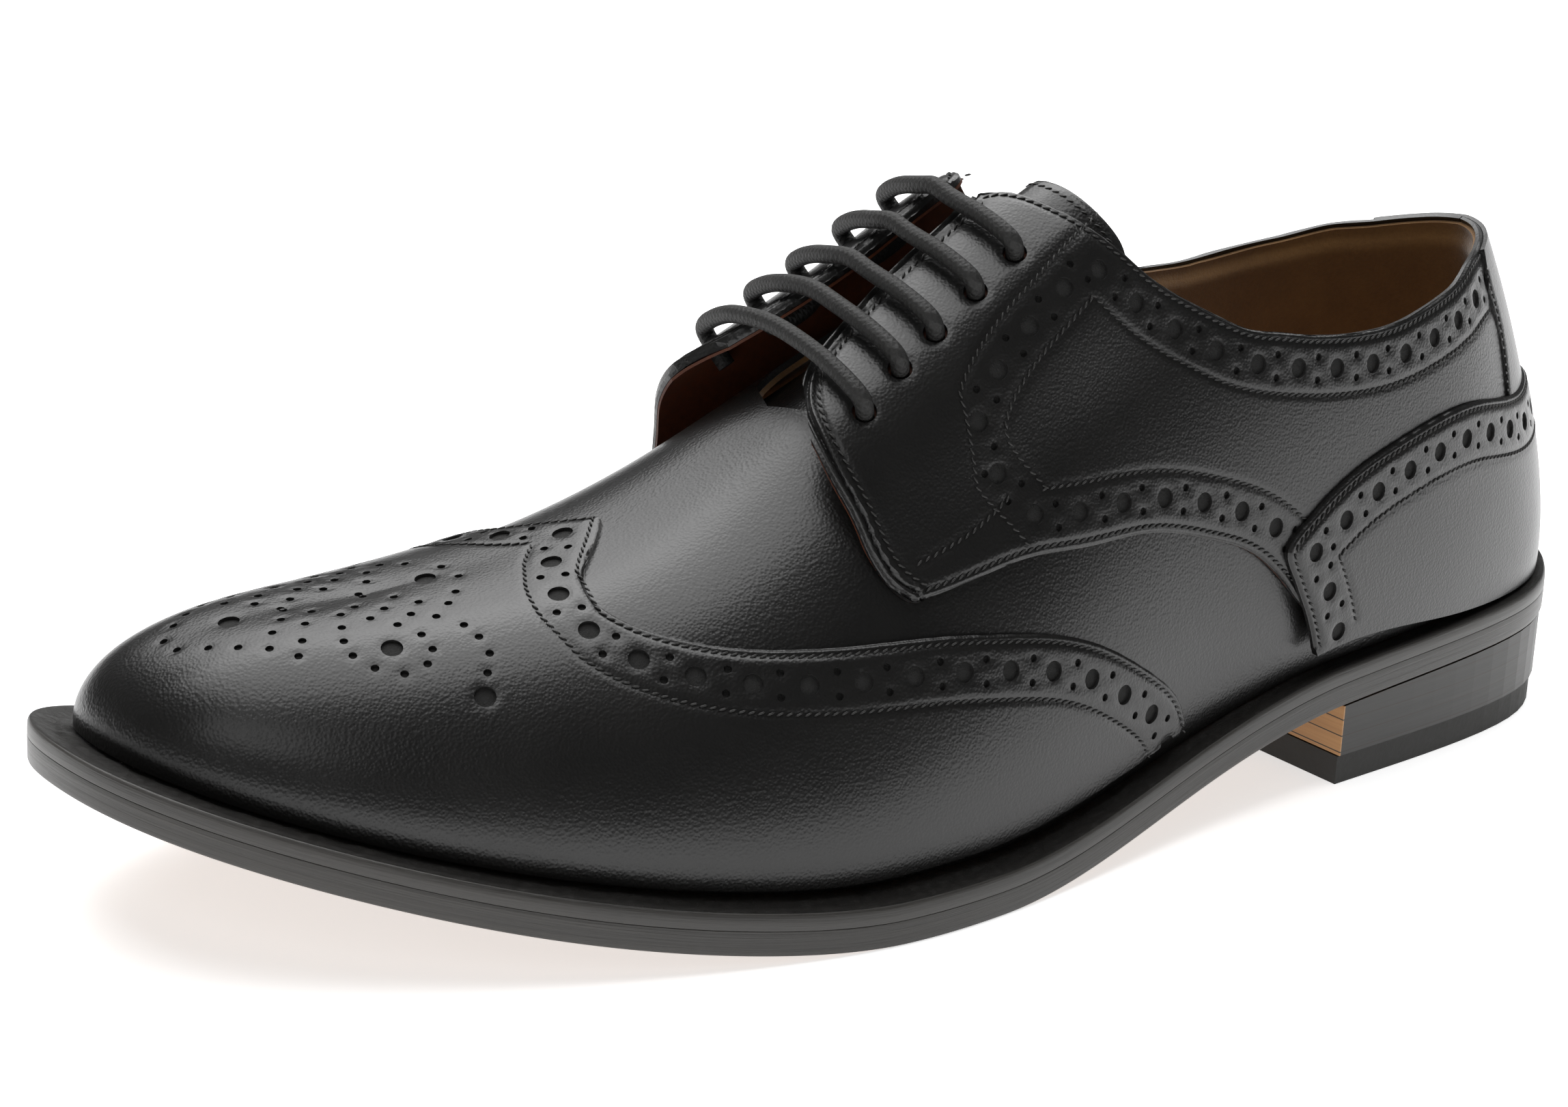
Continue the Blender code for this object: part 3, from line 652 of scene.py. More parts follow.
def panel_grid(top, bottom, across, down, place, rim_ends=True):
    """Rib and share of a grid between two edges, fine near its rim."""
    mid = np.linspace(0, 1, 9)
    rib0, share0 = top(mid)
    rib1, share1 = bottom(mid)
    size = np.linalg.norm(place(rib0, share0) - place(rib1, share1),
                          axis=1).mean()
    run = np.linalg.norm(np.diff(place(rib0, share0), axis=0), axis=1).sum()
    if rim_ends:
        t = fine_ends(across, RIM_STEPS, run)
    else:
        t = np.linspace(0, 1, across)
    s = fine_ends(down, RIM_STEPS, max(size, 4 * MM))
    rib0, share0 = (c[:, None] for c in top(t))
    rib1, share1 = (c[:, None] for c in bottom(t))
    return rib0 + (rib1 - rib0) * s, share0 + (share1 - share0) * s


def leather_shell(panel, rib, share, bead=0.0):
    """Thick panel whose edge is rounded and whose seams are sunk."""
    size = sizes()
    points = panel.top(rib, share).reshape(-1, 3)
    thin, edge = panel.fall(points)
    off = -0.45 * panel.wall * np.exp(-(edge / ROUNDING) ** 2) - thin
    if panel.rows:
        row = distance_to([panel.top(*c) for c in panel.rows], points)
        off -= size.sink * np.exp(-(row / GROOVE) ** 2)
    for kind, radius in enumerate(hole_radii()):
        spots = [hole[:2] for hole in panel.holes if hole[2] == kind]
        if spots:
            here = np.array(spots)
            gap = distance_to([panel.top(here[:, 0], here[:, 1])], points)
            gap = np.clip(gap - radius, 0, None)
            off -= 0.6 * size.sink * np.exp(-(gap / DIMPLE) ** 2)
    off = (off + bead).reshape(rib.shape)
    return (panel.place(rib, share, panel.wall + off),
            panel.place(rib, share, -0.9 * thin.reshape(rib.shape)))


def dressed(panel, high, low, *replaces):
    """The panel's mesh with its punched holes, and its stitches."""
    mesh = shell_mesh(panel.name, high, low)
    mesh.materials.append(material("black_calf"))
    mesh.materials.append(material("rough_flesh_side"))
    obj = link(panel.name, mesh)
    if panel.holes:
        punched(obj, panel)
    shade(obj.data)
    finish(obj, "upper_leather", replaces)
    name = panel.name.removesuffix("_leather")
    sew(f"{name}_stitches", panel_lines(panel), "upper_leather")


def dressed_pair(panel, rib, share, join, *replaces):
    """A panel over the centreline: left and right half, joined."""
    left = leather_shell(panel, rib, share)
    right = leather_shell(panel, LOOP - rib, share)
    dressed(panel, *(join(a, b) for a, b in zip(left, right)), *replaces)


def up_cloud(name, panel, spots, shapes):
    """Loose points that carry their normal and a punch's size."""
    here = np.array(spots, float)
    points = panel.top(here[:, 0], here[:, 1])
    ups = panel.upright(here[:, 0], here[:, 1])
    ridge = here[:, 1] < ON_RIDGE
    ups[ridge] = unit(panel.top(here[:, 0], here[:, 1], MM) - points)[ridge]
    mesh = bpy.data.meshes.new(name)
    mesh.from_pydata(points.tolist(), [], [])
    up = mesh.attributes.new("up", "FLOAT_VECTOR", "POINT")
    up.data.foreach_set("vector", ups.ravel())
    shape = mesh.attributes.new("shape", "FLOAT_VECTOR", "POINT")
    shape.data.foreach_set("vector", np.array(shapes, float).ravel())
    return link(name, mesh)


# ------------------------------------------------------------ node helpers
def add_node(tree, kind, settings=None, **inputs):
    """One node with its settings and its links or values."""
    node = tree.nodes.new(kind)
    for key, value in (settings or {}).items():
        setattr(node, key, value)
    for key, value in inputs.items():
        name = key.replace("_", " ")
        if name.startswith("in "):
            socket = node.inputs[int(name[3:])]
        else:
            socket = next(s for s in node.inputs
                          if s.name == name and s.enabled)
        if isinstance(value, bpy.types.NodeSocket):
            tree.links.new(value, socket)
        else:
            socket.default_value = value
    return node


def node_group(name, sockets):
    tree = bpy.data.node_groups.new(name, "GeometryNodeTree")
    tree.interface.new_socket("Geometry", in_out="OUTPUT",
                              socket_type="NodeSocketGeometry")
    tree.interface.new_socket("Geometry", in_out="INPUT",
                              socket_type="NodeSocketGeometry")
    for label, kind in sockets:
        tree.interface.new_socket(label, in_out="INPUT", socket_type=kind)
    return tree, tree.nodes.new("NodeGroupInput"), \
        tree.nodes.new("NodeGroupOutput")


def set_inputs(modifier, values):
    for item in modifier.node_group.interface.items_tree:
        if item.in_out == "INPUT" and item.name in values:
            modifier[item.identifier] = values[item.name]


def bake(obj):
    """Turn an object's modifiers into a plain mesh."""
    bpy.context.view_layer.update()
    graph = bpy.context.evaluated_depsgraph_get()
    mesh = bpy.data.meshes.new_from_object(obj.evaluated_get(graph))
    obj.modifiers.clear()
    old = obj.data
    obj.data = mesh
    mesh.name = obj.name
    bpy.data.meshes.remove(old)


def perforation_tree():
    """Punches blind holes at the points of another object."""
    if "perforations" in bpy.data.node_groups:
        return bpy.data.node_groups["perforations"]
    tree, given, result = node_group("perforations", (
        ("Points", "NodeSocketObject"), ("Floor", "NodeSocketMaterial")))
    info = add_node(tree, "GeometryNodeObjectInfo",
                    Object=given.outputs["Points"])
    cloud = add_node(tree, "GeometryNodeMeshToPoints",
                     Mesh=info.outputs["Geometry"])
    up = add_node(tree, "GeometryNodeInputNamedAttribute",
                  {"data_type": "FLOAT_VECTOR"}, Name="up")
    shape = add_node(tree, "GeometryNodeInputNamedAttribute",
                     {"data_type": "FLOAT_VECTOR"}, Name="shape")
    turn = add_node(tree, "FunctionNodeAlignRotationToVector",
                    {"axis": "Z"}, Vector=up.outputs["Attribute"])
    punch = add_node(tree, "GeometryNodeMeshCylinder", Vertices=20,
                     Radius=1.0, Depth=2.0)
    floor = add_node(tree, "GeometryNodeSetMaterial",
                     Geometry=punch.outputs["Mesh"],
                     Material=given.outputs["Floor"])
    many = add_node(tree, "GeometryNodeInstanceOnPoints",
                    Points=cloud.outputs["Points"],
                    Instance=floor.outputs["Geometry"],
                    Rotation=turn.outputs["Rotation"],
                    Scale=shape.outputs["Attribute"])
    real = add_node(tree, "GeometryNodeRealizeInstances",
                    Geometry=many.outputs["Instances"])
    cut = add_node(tree, "GeometryNodeMeshBoolean",
                   {"operation": "DIFFERENCE", "solver": "MANIFOLD"})
    tree.links.new(given.outputs["Geometry"], cut.inputs[0])
    tree.links.new(real.outputs["Geometry"], cut.inputs[1])
    tree.links.new(cut.outputs["Mesh"], result.inputs["Geometry"])
    return tree


def hole_radii():
    """Radii of the small holes, the big holes and the eyelets."""
    size = sizes()
    return size.small_hole / 2, size.big_hole / 2, EYELET_RADIUS


def punched(obj, panel):
    """Cut a panel's holes with the perforation tree."""
    depth = sizes().punch_depth
    depths = (depth, depth, THROUGH)
    radii = hole_radii()
    cloud = up_cloud(f"{obj.name}_punch_points", panel,
                     [hole[:2] for hole in panel.holes],
                     [(radii[kind], radii[kind], depths[kind])
                      for _, _, kind in panel.holes])
    cut = obj.modifiers.new("perforations", "NODES")
    cut.node_group = perforation_tree()
    set_inputs(cut, {"Points": cloud,
                     "Floor": material("rough_flesh_side")})
    bake(obj)
    bpy.data.objects.remove(cloud)


def stitch_tree():
    """Slanted stitches along every line of points."""
    if "stitches" in bpy.data.node_groups:
        return bpy.data.node_groups["stitches"]
    tree, given, result = node_group("stitches", (
        ("Pitch", "NodeSocketFloat"), ("Thread", "NodeSocketFloat"),
        ("Length", "NodeSocketFloat"), ("Slant", "NodeSocketFloat"),
        ("Material", "NodeSocketMaterial")))
    curve = add_node(tree, "GeometryNodeMeshToCurve",
                     Mesh=given.outputs["Geometry"])
    even = add_node(tree, "GeometryNodeResampleCurve", {"mode": "LENGTH"},
                    Curve=curve.outputs["Curve"],
                    Length=given.outputs["Pitch"])
    tangent = add_node(tree, "GeometryNodeInputTangent")
    up = add_node(tree, "GeometryNodeInputNamedAttribute",
                  {"data_type": "FLOAT_VECTOR"}, Name="up")
    lie = add_node(tree, "FunctionNodeAlignRotationToVector", {"axis": "Z"},
                   Vector=up.outputs["Attribute"])
    turn = add_node(tree, "FunctionNodeAlignRotationToVector",
                    {"axis": "X", "pivot_axis": "Z"},
                    Rotation=lie.outputs["Rotation"],
                    Vector=tangent.outputs["Tangent"])
    bead = add_node(tree, "GeometryNodeMeshUVSphere", Segments=6, Rings=4,
                    Radius=0.5)
    shape = add_node(tree, "ShaderNodeCombineXYZ",
                     X=given.outputs["Length"], Y=given.outputs["Thread"],
                     Z=given.outputs["Thread"])
    slant = add_node(tree, "ShaderNodeCombineXYZ",
                     Z=given.outputs["Slant"])
    one = add_node(tree, "GeometryNodeTransform",
                   Geometry=bead.outputs["Mesh"],
                   Scale=shape.outputs["Vector"],
                   Rotation=slant.outputs["Vector"])
    many = add_node(tree, "GeometryNodeInstanceOnPoints",
                    Points=even.outputs["Curve"],
                    Instance=one.outputs["Geometry"],
                    Rotation=turn.outputs["Rotation"])
    real = add_node(tree, "GeometryNodeRealizeInstances",
                    Geometry=many.outputs["Instances"])
    round_off = add_node(tree, "GeometryNodeSetShadeSmooth",
                         Geometry=real.outputs["Geometry"])
    paint = add_node(tree, "GeometryNodeSetMaterial",
                     Geometry=round_off.outputs["Geometry"],
                     Material=given.outputs["Material"])
    tree.links.new(paint.outputs["Geometry"], result.inputs["Geometry"])
    return tree


def sew(name, lines, slot):
    """Stitch along lines, each a pair of points and their normals."""
    size = sizes()
    verts, ups, edges = [], [], []
    for points, up in lines:
        start = len(verts)
        verts.extend(points.tolist())
        ups.extend(up.tolist())
        edges.extend((start + i, start + i + 1)
                     for i in range(len(points) - 1))
    mesh = bpy.data.meshes.new(name)
    mesh.from_pydata(verts, edges, [])
    given = mesh.attributes.new("up", "FLOAT_VECTOR", "POINT")
    given.data.foreach_set("vector", np.array(ups).ravel())
    obj = link(name, mesh)
    rows = obj.modifiers.new("stitches", "NODES")
    rows.node_group = stitch_tree()
    set_inputs(rows, {"Pitch": size.stitch_pitch, "Thread": size.thread,
                      "Length": size.stitch_pitch * 1.02,
                      "Slant": STITCH_SLANT,
                      "Material": material("nylon_thread")})
    bake(obj)
    if not obj.data.materials:
        obj.data.materials.append(material("nylon_thread"))
    finish(obj, slot)


def panel_lines(panel):
    """A panel's stitch rows, sunk a little, with their normals."""
    lines = []
    for curve in panel.rows:
        lower = -0.35 * sizes().sink - panel.fall(panel.top(*curve))[0]
        lines.append((panel.top(*curve, lower), panel.upright(*curve)))
    return lines


# ------------------------------------------------------------ materials
def linear(hexes):
    """sRGB hex to linear colour."""
    parts = [int(hexes[i:i + 2], 16) / 255 for i in (0, 2, 4)]
    return tuple(c / 12.92 if c <= 0.04045 else ((c + 0.055) / 1.055) ** 2.4
                 for c in parts) + (1.0,)


def start_material(name, rough=0.5, **more):
    """A material with its tree, shader and Object coordinates."""
    made = bpy.data.materials.new(name)
    made.use_nodes = True
    tree = made.node_tree
    shader = tree.nodes["Principled BSDF"]
    shader.inputs["Roughness"].default_value = rough
    shader.inputs["IOR"].default_value = 1.5
    for key, value in more.items():
        shader.inputs[key.replace("_", " ")].default_value = value
    place = add_node(tree, "ShaderNodeTexCoord").outputs["Object"]
    return made, tree, shader, place


def vary(tree, shader, mask, dark, light, rough_a=None, rough_b=None):
    """Blend colour and roughness by a mask."""
    mix = add_node(tree, "ShaderNodeMix", {"data_type": "RGBA"},
                   in_0=mask, in_6=linear(dark), in_7=linear(light))
    tree.links.new(mix.outputs[2], shader.inputs["Base Color"])
    if rough_a is not None:
        span = add_node(tree, "ShaderNodeMapRange", Value=mask,
                        To_Min=rough_a, To_Max=rough_b)
        tree.links.new(span.outputs["Result"], shader.inputs["Roughness"])


def relief(tree, shader, *layers):
    """Stack layers of (height, strength, depth) on the shader's normal."""
    below = {}
    for height, strength, depth in layers:
        node = add_node(tree, "ShaderNodeBump", Height=height,
                        Strength=strength, Distance=depth, **below)
        below = {"Normal": node.outputs["Normal"]}
    tree.links.new(below["Normal"], shader.inputs["Normal"])


def black_calf():
    """Smooth aniline calf, boarded and waxed: a fine pebble under a gloss.

    Real pores are about a tenth of a millimetre.  They are drawn at half a
    millimetre, as coarse as they need to be to show.
    """
    made, tree, shader, place = start_material(
        "waxed_black_calf", Coat_Weight=0.22, Coat_Roughness=0.24,
        Specular_IOR_Level=0.45)
    pebble = add_node(tree, "ShaderNodeTexVoronoi",
                      {"feature": "SMOOTH_F1"}, Vector=place,
                      Scale=1.9 / MM, Smoothness=0.6, Randomness=1.0)
    crease = add_node(tree, "ShaderNodeTexNoise", Vector=place,
                      Scale=0.9 / MM, Detail=4.0, Roughness=0.6,
                      Distortion=0.4)
    cloudy = add_node(tree, "ShaderNodeTexNoise", Vector=place,
                      Scale=0.055 / MM, Detail=5.0, Roughness=0.55)
    vary(tree, shader, cloudy.outputs["Fac"], *tones("leather"), 0.28, 0.40)
    relief(tree, shader, (pebble.outputs["Distance"], 0.42, 0.15 * MM),
           (crease.outputs["Fac"], 0.30, 0.12 * MM),
           (cloudy.outputs["Fac"], 0.10, 0.5 * MM))
    return made


def grained(name, dark, light, rough, rough_most, scale, detail, harsh,
            distortion, strength, depth):
    """A material whose colour, gloss and relief follow one noise."""
    made, tree, shader, place = start_material(name)
    grain = add_node(tree, "ShaderNodeTexNoise", Vector=place,
                     Scale=scale / MM, Detail=detail, Roughness=harsh,
                     Distortion=distortion).outputs["Fac"]
    vary(tree, shader, grain, dark, light, rough, rough_most)
    relief(tree, shader, (grain, strength, depth * MM))
    return made


def plain_finishes():
    """The finishes of one grain, as the arguments of grained.

    name; dark and light tone; least and most roughness; grains a mm, detail,
    harshness and distortion of the noise; strength and depth (mm) of relief
    """
    return {
        # bare fibres at the bottom of a punched hole
        "rough_flesh_side": ("rough_flesh_side", "080808", "1e1d1b", 0.6,
                             0.85, 1.6, 6, 0.75, 0, 0.9, 0.35),
        # bonded nylon: twisted plies with a dull shine; the twist is drawn
        # coarser than real so that it shows
        "nylon_thread": ("nylon_thread", *tones("thread"), 0.42, 0.62, 2.6,
                         2, 0.5, 0, 0.6, 0.10),
        # vegetable-tanned leather, reddish brown, raw at its edge
        "facing_lining": ("facing_lining", *tones("facing"), 0.5, 0.75, 0.7,
                          5, 0.65, 0, 0.4, 0.20),
        # welt's upper face: inked, wheeled and left rough, in crumbs
        "welt_top": ("rough_welt", "050505", "302d29", 0.35, 0.75, 0.52, 7,
                     0.78, 0.6, 1.0, 1.1),
        # underside of the sole: oak-bark leather, rubbed dark
        "tread_leather": ("tread_leather", "54391f", "8c6a45", 0.5, 0.75,
                          0.42, 7, 0.65, 0, 0.35, 0.25),
        # moulded rubber top piece, matt dark grey
        "top_rubber": ("moulded_rubber", "1b1b1a", "31302d", 0.55, 0.8, 1.1,
                       4, 0.5, 0, 0.4, 0.15),
        # sock lining: smooth natural leather, faintly clouded by wear
        "sock_leather": ("sock_leather", *tones("insole"), 0.45, 0.65, 0.5,
                         6, 0.6, 0, 0.3, 0.15),
    }


def suede_lining():
    """Brushed pigskin: soft, matt, with patches of turned nap."""
    made, tree, shader, place = start_material(
        "suede_lining", 0.95, Sheen_Weight=0.5, Sheen_Roughness=0.5,
        Specular_IOR_Level=0.2)
    nap = add_node(tree, "ShaderNodeTexNoise", Vector=place, Scale=1.5 / MM,
                   Detail=6.0, Roughness=0.7)
    patch = add_node(tree, "ShaderNodeTexNoise", Vector=place,
                     Scale=0.09 / MM, Detail=4.0, Roughness=0.6)
    half = add_node(tree, "ShaderNodeMath", {"operation": "MULTIPLY"},
                    in_0=patch.outputs["Fac"], in_1=0.6)
    blend = add_node(tree, "ShaderNodeMath", {"operation": "MULTIPLY_ADD"},
                     in_0=nap.outputs["Fac"], in_1=0.45,
                     in_2=half.outputs[0])
    vary(tree, shader, blend.outputs[0], *tones("lining"))
    relief(tree, shader, (nap.outputs["Fac"], 0.55, 0.3 * MM))
    return made


def waxed_cord():
    """Round cotton lace, braided and waxed: fine slanted plies, some fuzz.

    Its braid is drawn coarser than real so that it shows.
    """
    made, tree, shader, place = start_material("waxed_cotton_cord")
    uv = add_node(tree, "ShaderNodeUVMap", {"uv_map": "UVMap"}).outputs["UV"]
    plies = []
    for angle in (35, -35):
        way = add_node(tree, "ShaderNodeMapping", Vector=uv,
                       Rotation=(0, 0, math.radians(angle)))
        plies.append(add_node(
            tree, "ShaderNodeTexWave", {"bands_direction": "X"},
            Vector=way.outputs["Vector"], Scale=0.32 / MM, Distortion=1.2,
            Detail=1.0, Detail_Scale=2.0).outputs["Fac"])
    braid = add_node(tree, "ShaderNodeMath", {"operation": "MAXIMUM"},
                     in_0=plies[0], in_1=plies[1])
    fuzz = add_node(tree, "ShaderNodeTexNoise", Vector=place,
                    Scale=2.2 / MM, Detail=4.0, Roughness=0.7)
    vary(tree, shader, fuzz.outputs["Fac"], "080808", "1f1e1c", 0.45, 0.75)
    relief(tree, shader, (braid.outputs[0], 0.55, 0.18 * MM),
           (fuzz.outputs["Fac"], 0.7, 0.22 * MM))
    return made


def sole_edge():
    """Edge of the leather sole, trimmed, inked and ironed with wax.

    The layers show as fine lines that run along the sole.
    """
    made, tree, shader, place = start_material(
        "inked_sole_edge", Coat_Weight=0.12, Coat_Roughness=0.3)
    uv = add_node(tree, "ShaderNodeUVMap", {"uv_map": "UVMap"}).outputs["UV"]
    stretch = add_node(tree, "ShaderNodeMapping", Vector=uv,
                       Scale=(0.014 / MM, 0.9 / MM, 1.0))
    lines = add_node(tree, "ShaderNodeTexNoise",
                     Vector=stretch.outputs["Vector"], Scale=1.0, Detail=6.0,
                     Roughness=0.68)
    scuff = add_node(tree, "ShaderNodeTexNoise", Vector=place,
                     Scale=0.07 / MM, Detail=6.0, Roughness=0.6)
    vary(tree, shader, lines.outputs["Fac"], *tones("sole_edge"), 0.28, 0.52)
    relief(tree, shader, (lines.outputs["Fac"], 0.75, 0.30 * MM),
           (scuff.outputs["Fac"], 0.18, 0.6 * MM))
    return made


def heel_leather():
    """Stacked heel: lifts about 3 mm thick, inked all round, bare breast."""
    made, tree, shader, place = start_material("stacked_heel", 0.42)
    split = add_node(tree, "ShaderNodeSeparateXYZ", Vector=place)
    stretch = add_node(tree, "ShaderNodeMapping", Vector=place,
                       Scale=(0.025 / MM, 0.025 / MM, 0.9 / MM))
    lines = add_node(tree, "ShaderNodeTexNoise",
                     Vector=stretch.outputs["Vector"], Scale=1.0, Detail=5.0,
                     Roughness=0.65)
    lifts = add_node(tree, "ShaderNodeMath", {"operation": "DIVIDE"},
                     in_0=split.outputs["Z"], in_1=3.2 * MM)
    lift = add_node(tree, "ShaderNodeMath", {"operation": "FRACT"},
                    in_0=lifts.outputs[0])
    seam = add_node(tree, "ShaderNodeMath", {"operation": "LESS_THAN"},
                    in_0=lift.outputs[0], in_1=0.07)
    breast = add_node(tree, "ShaderNodeMath", {"operation": "GREATER_THAN"},
                      in_0=split.outputs["X"],
                      in_1=HEEL_LENGTH / 2 - 0.3 * MM)
    streaks = [add_node(tree, "ShaderNodeMix", {"data_type": "RGBA"},
                        in_0=lines.outputs["Fac"], in_6=linear(dark),
                        in_7=linear(light)).outputs[2]
               for dark, light in (("181817", "34322f"), tones("heel"))]
    both = add_node(tree, "ShaderNodeMix", {"data_type": "RGBA"},
                    in_0=breast.outputs[0], in_6=streaks[0],
                    in_7=streaks[1])
    lined = add_node(tree, "ShaderNodeMix", {"data_type": "RGBA"},
                     in_0=seam.outputs[0], in_6=both.outputs[2],
                     in_7=linear("241a12"))
    tree.links.new(lined.outputs[2], shader.inputs["Base Color"])
    relief(tree, shader, (lines.outputs["Fac"], 0.4, 0.15 * MM),
           (seam.outputs[0], -0.5, 0.2 * MM))
    return made


def studio_paper():
    """Matt background paper, lit through, so that the shadow stays faint."""
    made, tree, shader, place = start_material(
        "studio_paper", 0.9, Emission_Color=(1, 1, 1, 1),
        Emission_Strength=0.65,
        Base_Color=linear(bpy.context.scene.shoe_colours.floor))
    tooth = add_node(tree, "ShaderNodeTexNoise", Vector=place,
                     Scale=0.9 / MM, Detail=2.0)
    relief(tree, shader, (tooth.outputs["Fac"], 0.05, 0.1 * MM))
    return made


FINISHES = {
    "black_calf": black_calf, "suede_lining": suede_lining,
    "waxed_cord": waxed_cord, "sole_edge": sole_edge,
    "heel_leather": heel_leather, "studio_paper": studio_paper,
}
MADE = {}


def material(name):
    if name not in MADE:
        MADE[name] = (FINISHES[name]() if name in FINISHES
                      else grained(*plain_finishes()[name]))
    return MADE[name]


# ------------------------------------------------------------ panel edges
def half_edge(table, count=400):
    return along(table, np.linspace(0, 1, count))


def wing_edges():
    peak, spine_share, tail = WING_EDGE[0][0], 0.36, WING_EDGE[-1][0]

    def top(t):
        rib, share = along(WING_EDGE, (t - spine_share) / (1 - spine_share))
        ridge = t < spine_share
        return (np.where(ridge, peak * t / spine_share, rib),
                np.where(ridge, 0.0, share))

    def bottom(t):
        return tail * t ** 1.15, np.full(np.shape(t), FOOT_SHARE)

    return top, bottom


def quarter_edges():
    upper_edge = FACING[:NOSE][::-1] + COLLAR[1:]
    lower_edge = FACING[NOSE + 1:] + QUARTER_FOOT
    seam, turn = HALF - 0.012, 0.62

    def top(t):
        rib, share = along(upper_edge, t)
        return np.minimum(rib, seam), share

    def bottom(t):
        rib, share = along(lower_edge, t / turn)
        start = QUARTER_FOOT[-1][0]
        foot_rib = start + (HALF - start) * (t - turn) / (1 - turn)
        late = t >= turn
        return (np.minimum(np.where(late, foot_rib, rib), seam),
                np.where(late, FOOT_SHARE, share))

    return top, bottom


def counter_edges():
    def top(t):
        return along(COUNTER_EDGE, 1 - t)

    def bottom(t):
        start = COUNTER_EDGE[-1][0] + 0.02
        return (start + (HALF - start) * t,
                np.full(np.shape(t), FOOT_SHARE + 0.006))

    return top, bottom


# ------------------------------------------------------------ operators
class SHOE_OT_vamp(bpy.types.Operator):
    """Lay the vamp over the last and line it"""
    bl_idname = "shoe.vamp"
    bl_label = "Vamp and lining"

    def execute(self, context):
        start = THROAT[0][0]
        half = np.concatenate([
            np.linspace(0, 3.6, 60)[:-1], np.linspace(3.6, start, 50)[:-1],
            np.linspace(start, start + 0.6, 26)[:-1],
            np.linspace(start + 0.6, 8.8, 46)[:-1],
            np.linspace(8.8, HALF, 60)])
        ribs = np.concatenate([half, (LOOP - half[1:-1])[::-1]])
        side = np.minimum(ribs, LOOP - ribs)
        throat = np.where(side > start, share_on(THROAT, side), 0.0)
        collar = share_on(COLLAR, np.clip(side, COLLAR[0][0], HALF))
        s = np.linspace(0, 1, 56)
        rib = np.repeat(ribs[:, None], len(s), 1)

        share = throat[:, None] + (1 - throat[:, None]) * s
        split = 0.52 * UPPER_WALL
        sheet("vamp", on_last(rib, share), on_last(rib, share, -split),
              "black_calf", "upper_leather", ("upper",), True)

        back = smooth((side - 8.0) / 0.7)
        top = throat + (collar + 0.006 - throat) * back
        share = top[:, None] + (1 - top[:, None]) * s
        rise = smooth((throat[:, None] + 0.012 - share) / 0.022)
        rise = rise * back[:, None]
        outer = -split - 0.05 * MM + (split + 0.4 * MM) * rise
        inner = -UPPER_WALL + 1.5 * MM * rise
        sheet("lining", on_last(rib, share, outer),
              on_last(rib, share, inner), "suede_lining", "insole", (), True)
        return {"FINISHED"}


class SHOE_OT_wing_cap(bpy.types.Operator):
    """Cut, punch and stitch the wing-shaped toe cap"""
    bl_idname = "shoe.wing_cap"
    bl_label = "Wing cap"

    def execute(self, context):
        panel = Panel("wing_cap_leather", on_wing, PANEL_WALL)
        edge = half_edge(WING_EDGE)
        first = panel.inset(edge, sizes().edge_row, -1, 0.002)
        panel.stitch(first)
        panel.band(first, -1, 0.002)
        for kind, chart in enumerate((MEDALLION_SMALL, MEDALLION_BIG)):
            for rib, share in chart:
                panel.punch(rib, share, kind)
        panel.mirror(edge)
        rib, share = panel_grid(*wing_edges(), 230, 66, panel.top, False)
        dressed_pair(panel, rib, share,
                     lambda left, right: np.concatenate([right[:0:-1], left]),
                     "wing_cap")
        return {"FINISHED"}


def quarter_rows(panel):
    """Edges, stitch rows, bands of holes and eyelets of one quarter."""
    size = sizes()
    wide, half, first = size.band_width, size.band_width / 2, size.edge_row
    front, collar = half_edge(FACING), half_edge(COLLAR)
    low = half_edge(FACING[-1:] + QUARTER_FOOT)
    panel.rim = [front, collar, low]
    edge_row = panel.inset(collar, first, -1)
    edge_row = tuple(c[edge_row[0] < STAY_RIB - STAY_SEAM]
                     for c in edge_row)
    edge_row = under_collar(panel.clear_of(edge_row, (front, 2.0 * first)))
    middle = half_edge(FACING_BAND)
    ahead = panel.inset(middle, half, -1)
    behind = panel.inset(middle, half, 1)
    low_row = panel.inset(low, first, 1)
    foot_row = tuple(c[low_row[1] < 0.905] for c in low_row)
    facing_row = panel.inset(front, FACING_ROW, 1)

    for row in (edge_row,
                panel.clear_of(ahead, (collar, first), (low, first)),
                panel.clear_of(behind, (collar, first + wide),
                               (low, first + wide)),
                under_collar(panel.clear_of(facing_row, (collar, first))),
                low_row):
        panel.stitch(row)
    # second rows of the collar's and the foot's band, from the third band on
    for row, side in ((edge_row, -1), (foot_row, 1)):
        second = panel.inset(row, wide, side)
        start = panel.nearest(second, behind)[0]
        panel.stitch(tuple(c[start:] for c in second))
    panel.stitch(along(FACING_CROSS, np.linspace(0, 1, 20)))

    collar_middle = panel.inset(edge_row, half, -1)
    foot_middle = panel.inset(foot_row, half, 1)
    i, j = panel.nearest(collar_middle, middle)
    k, m = panel.nearest(middle, foot_middle)
    panel.row_of_holes(tuple(
        np.concatenate([a[:i:-1], b[j:k], c[m:]])
        for a, b, c in zip(collar_middle, middle, foot_middle)))
    for spot in EYELETS:
        panel.punch(*spot, 2)


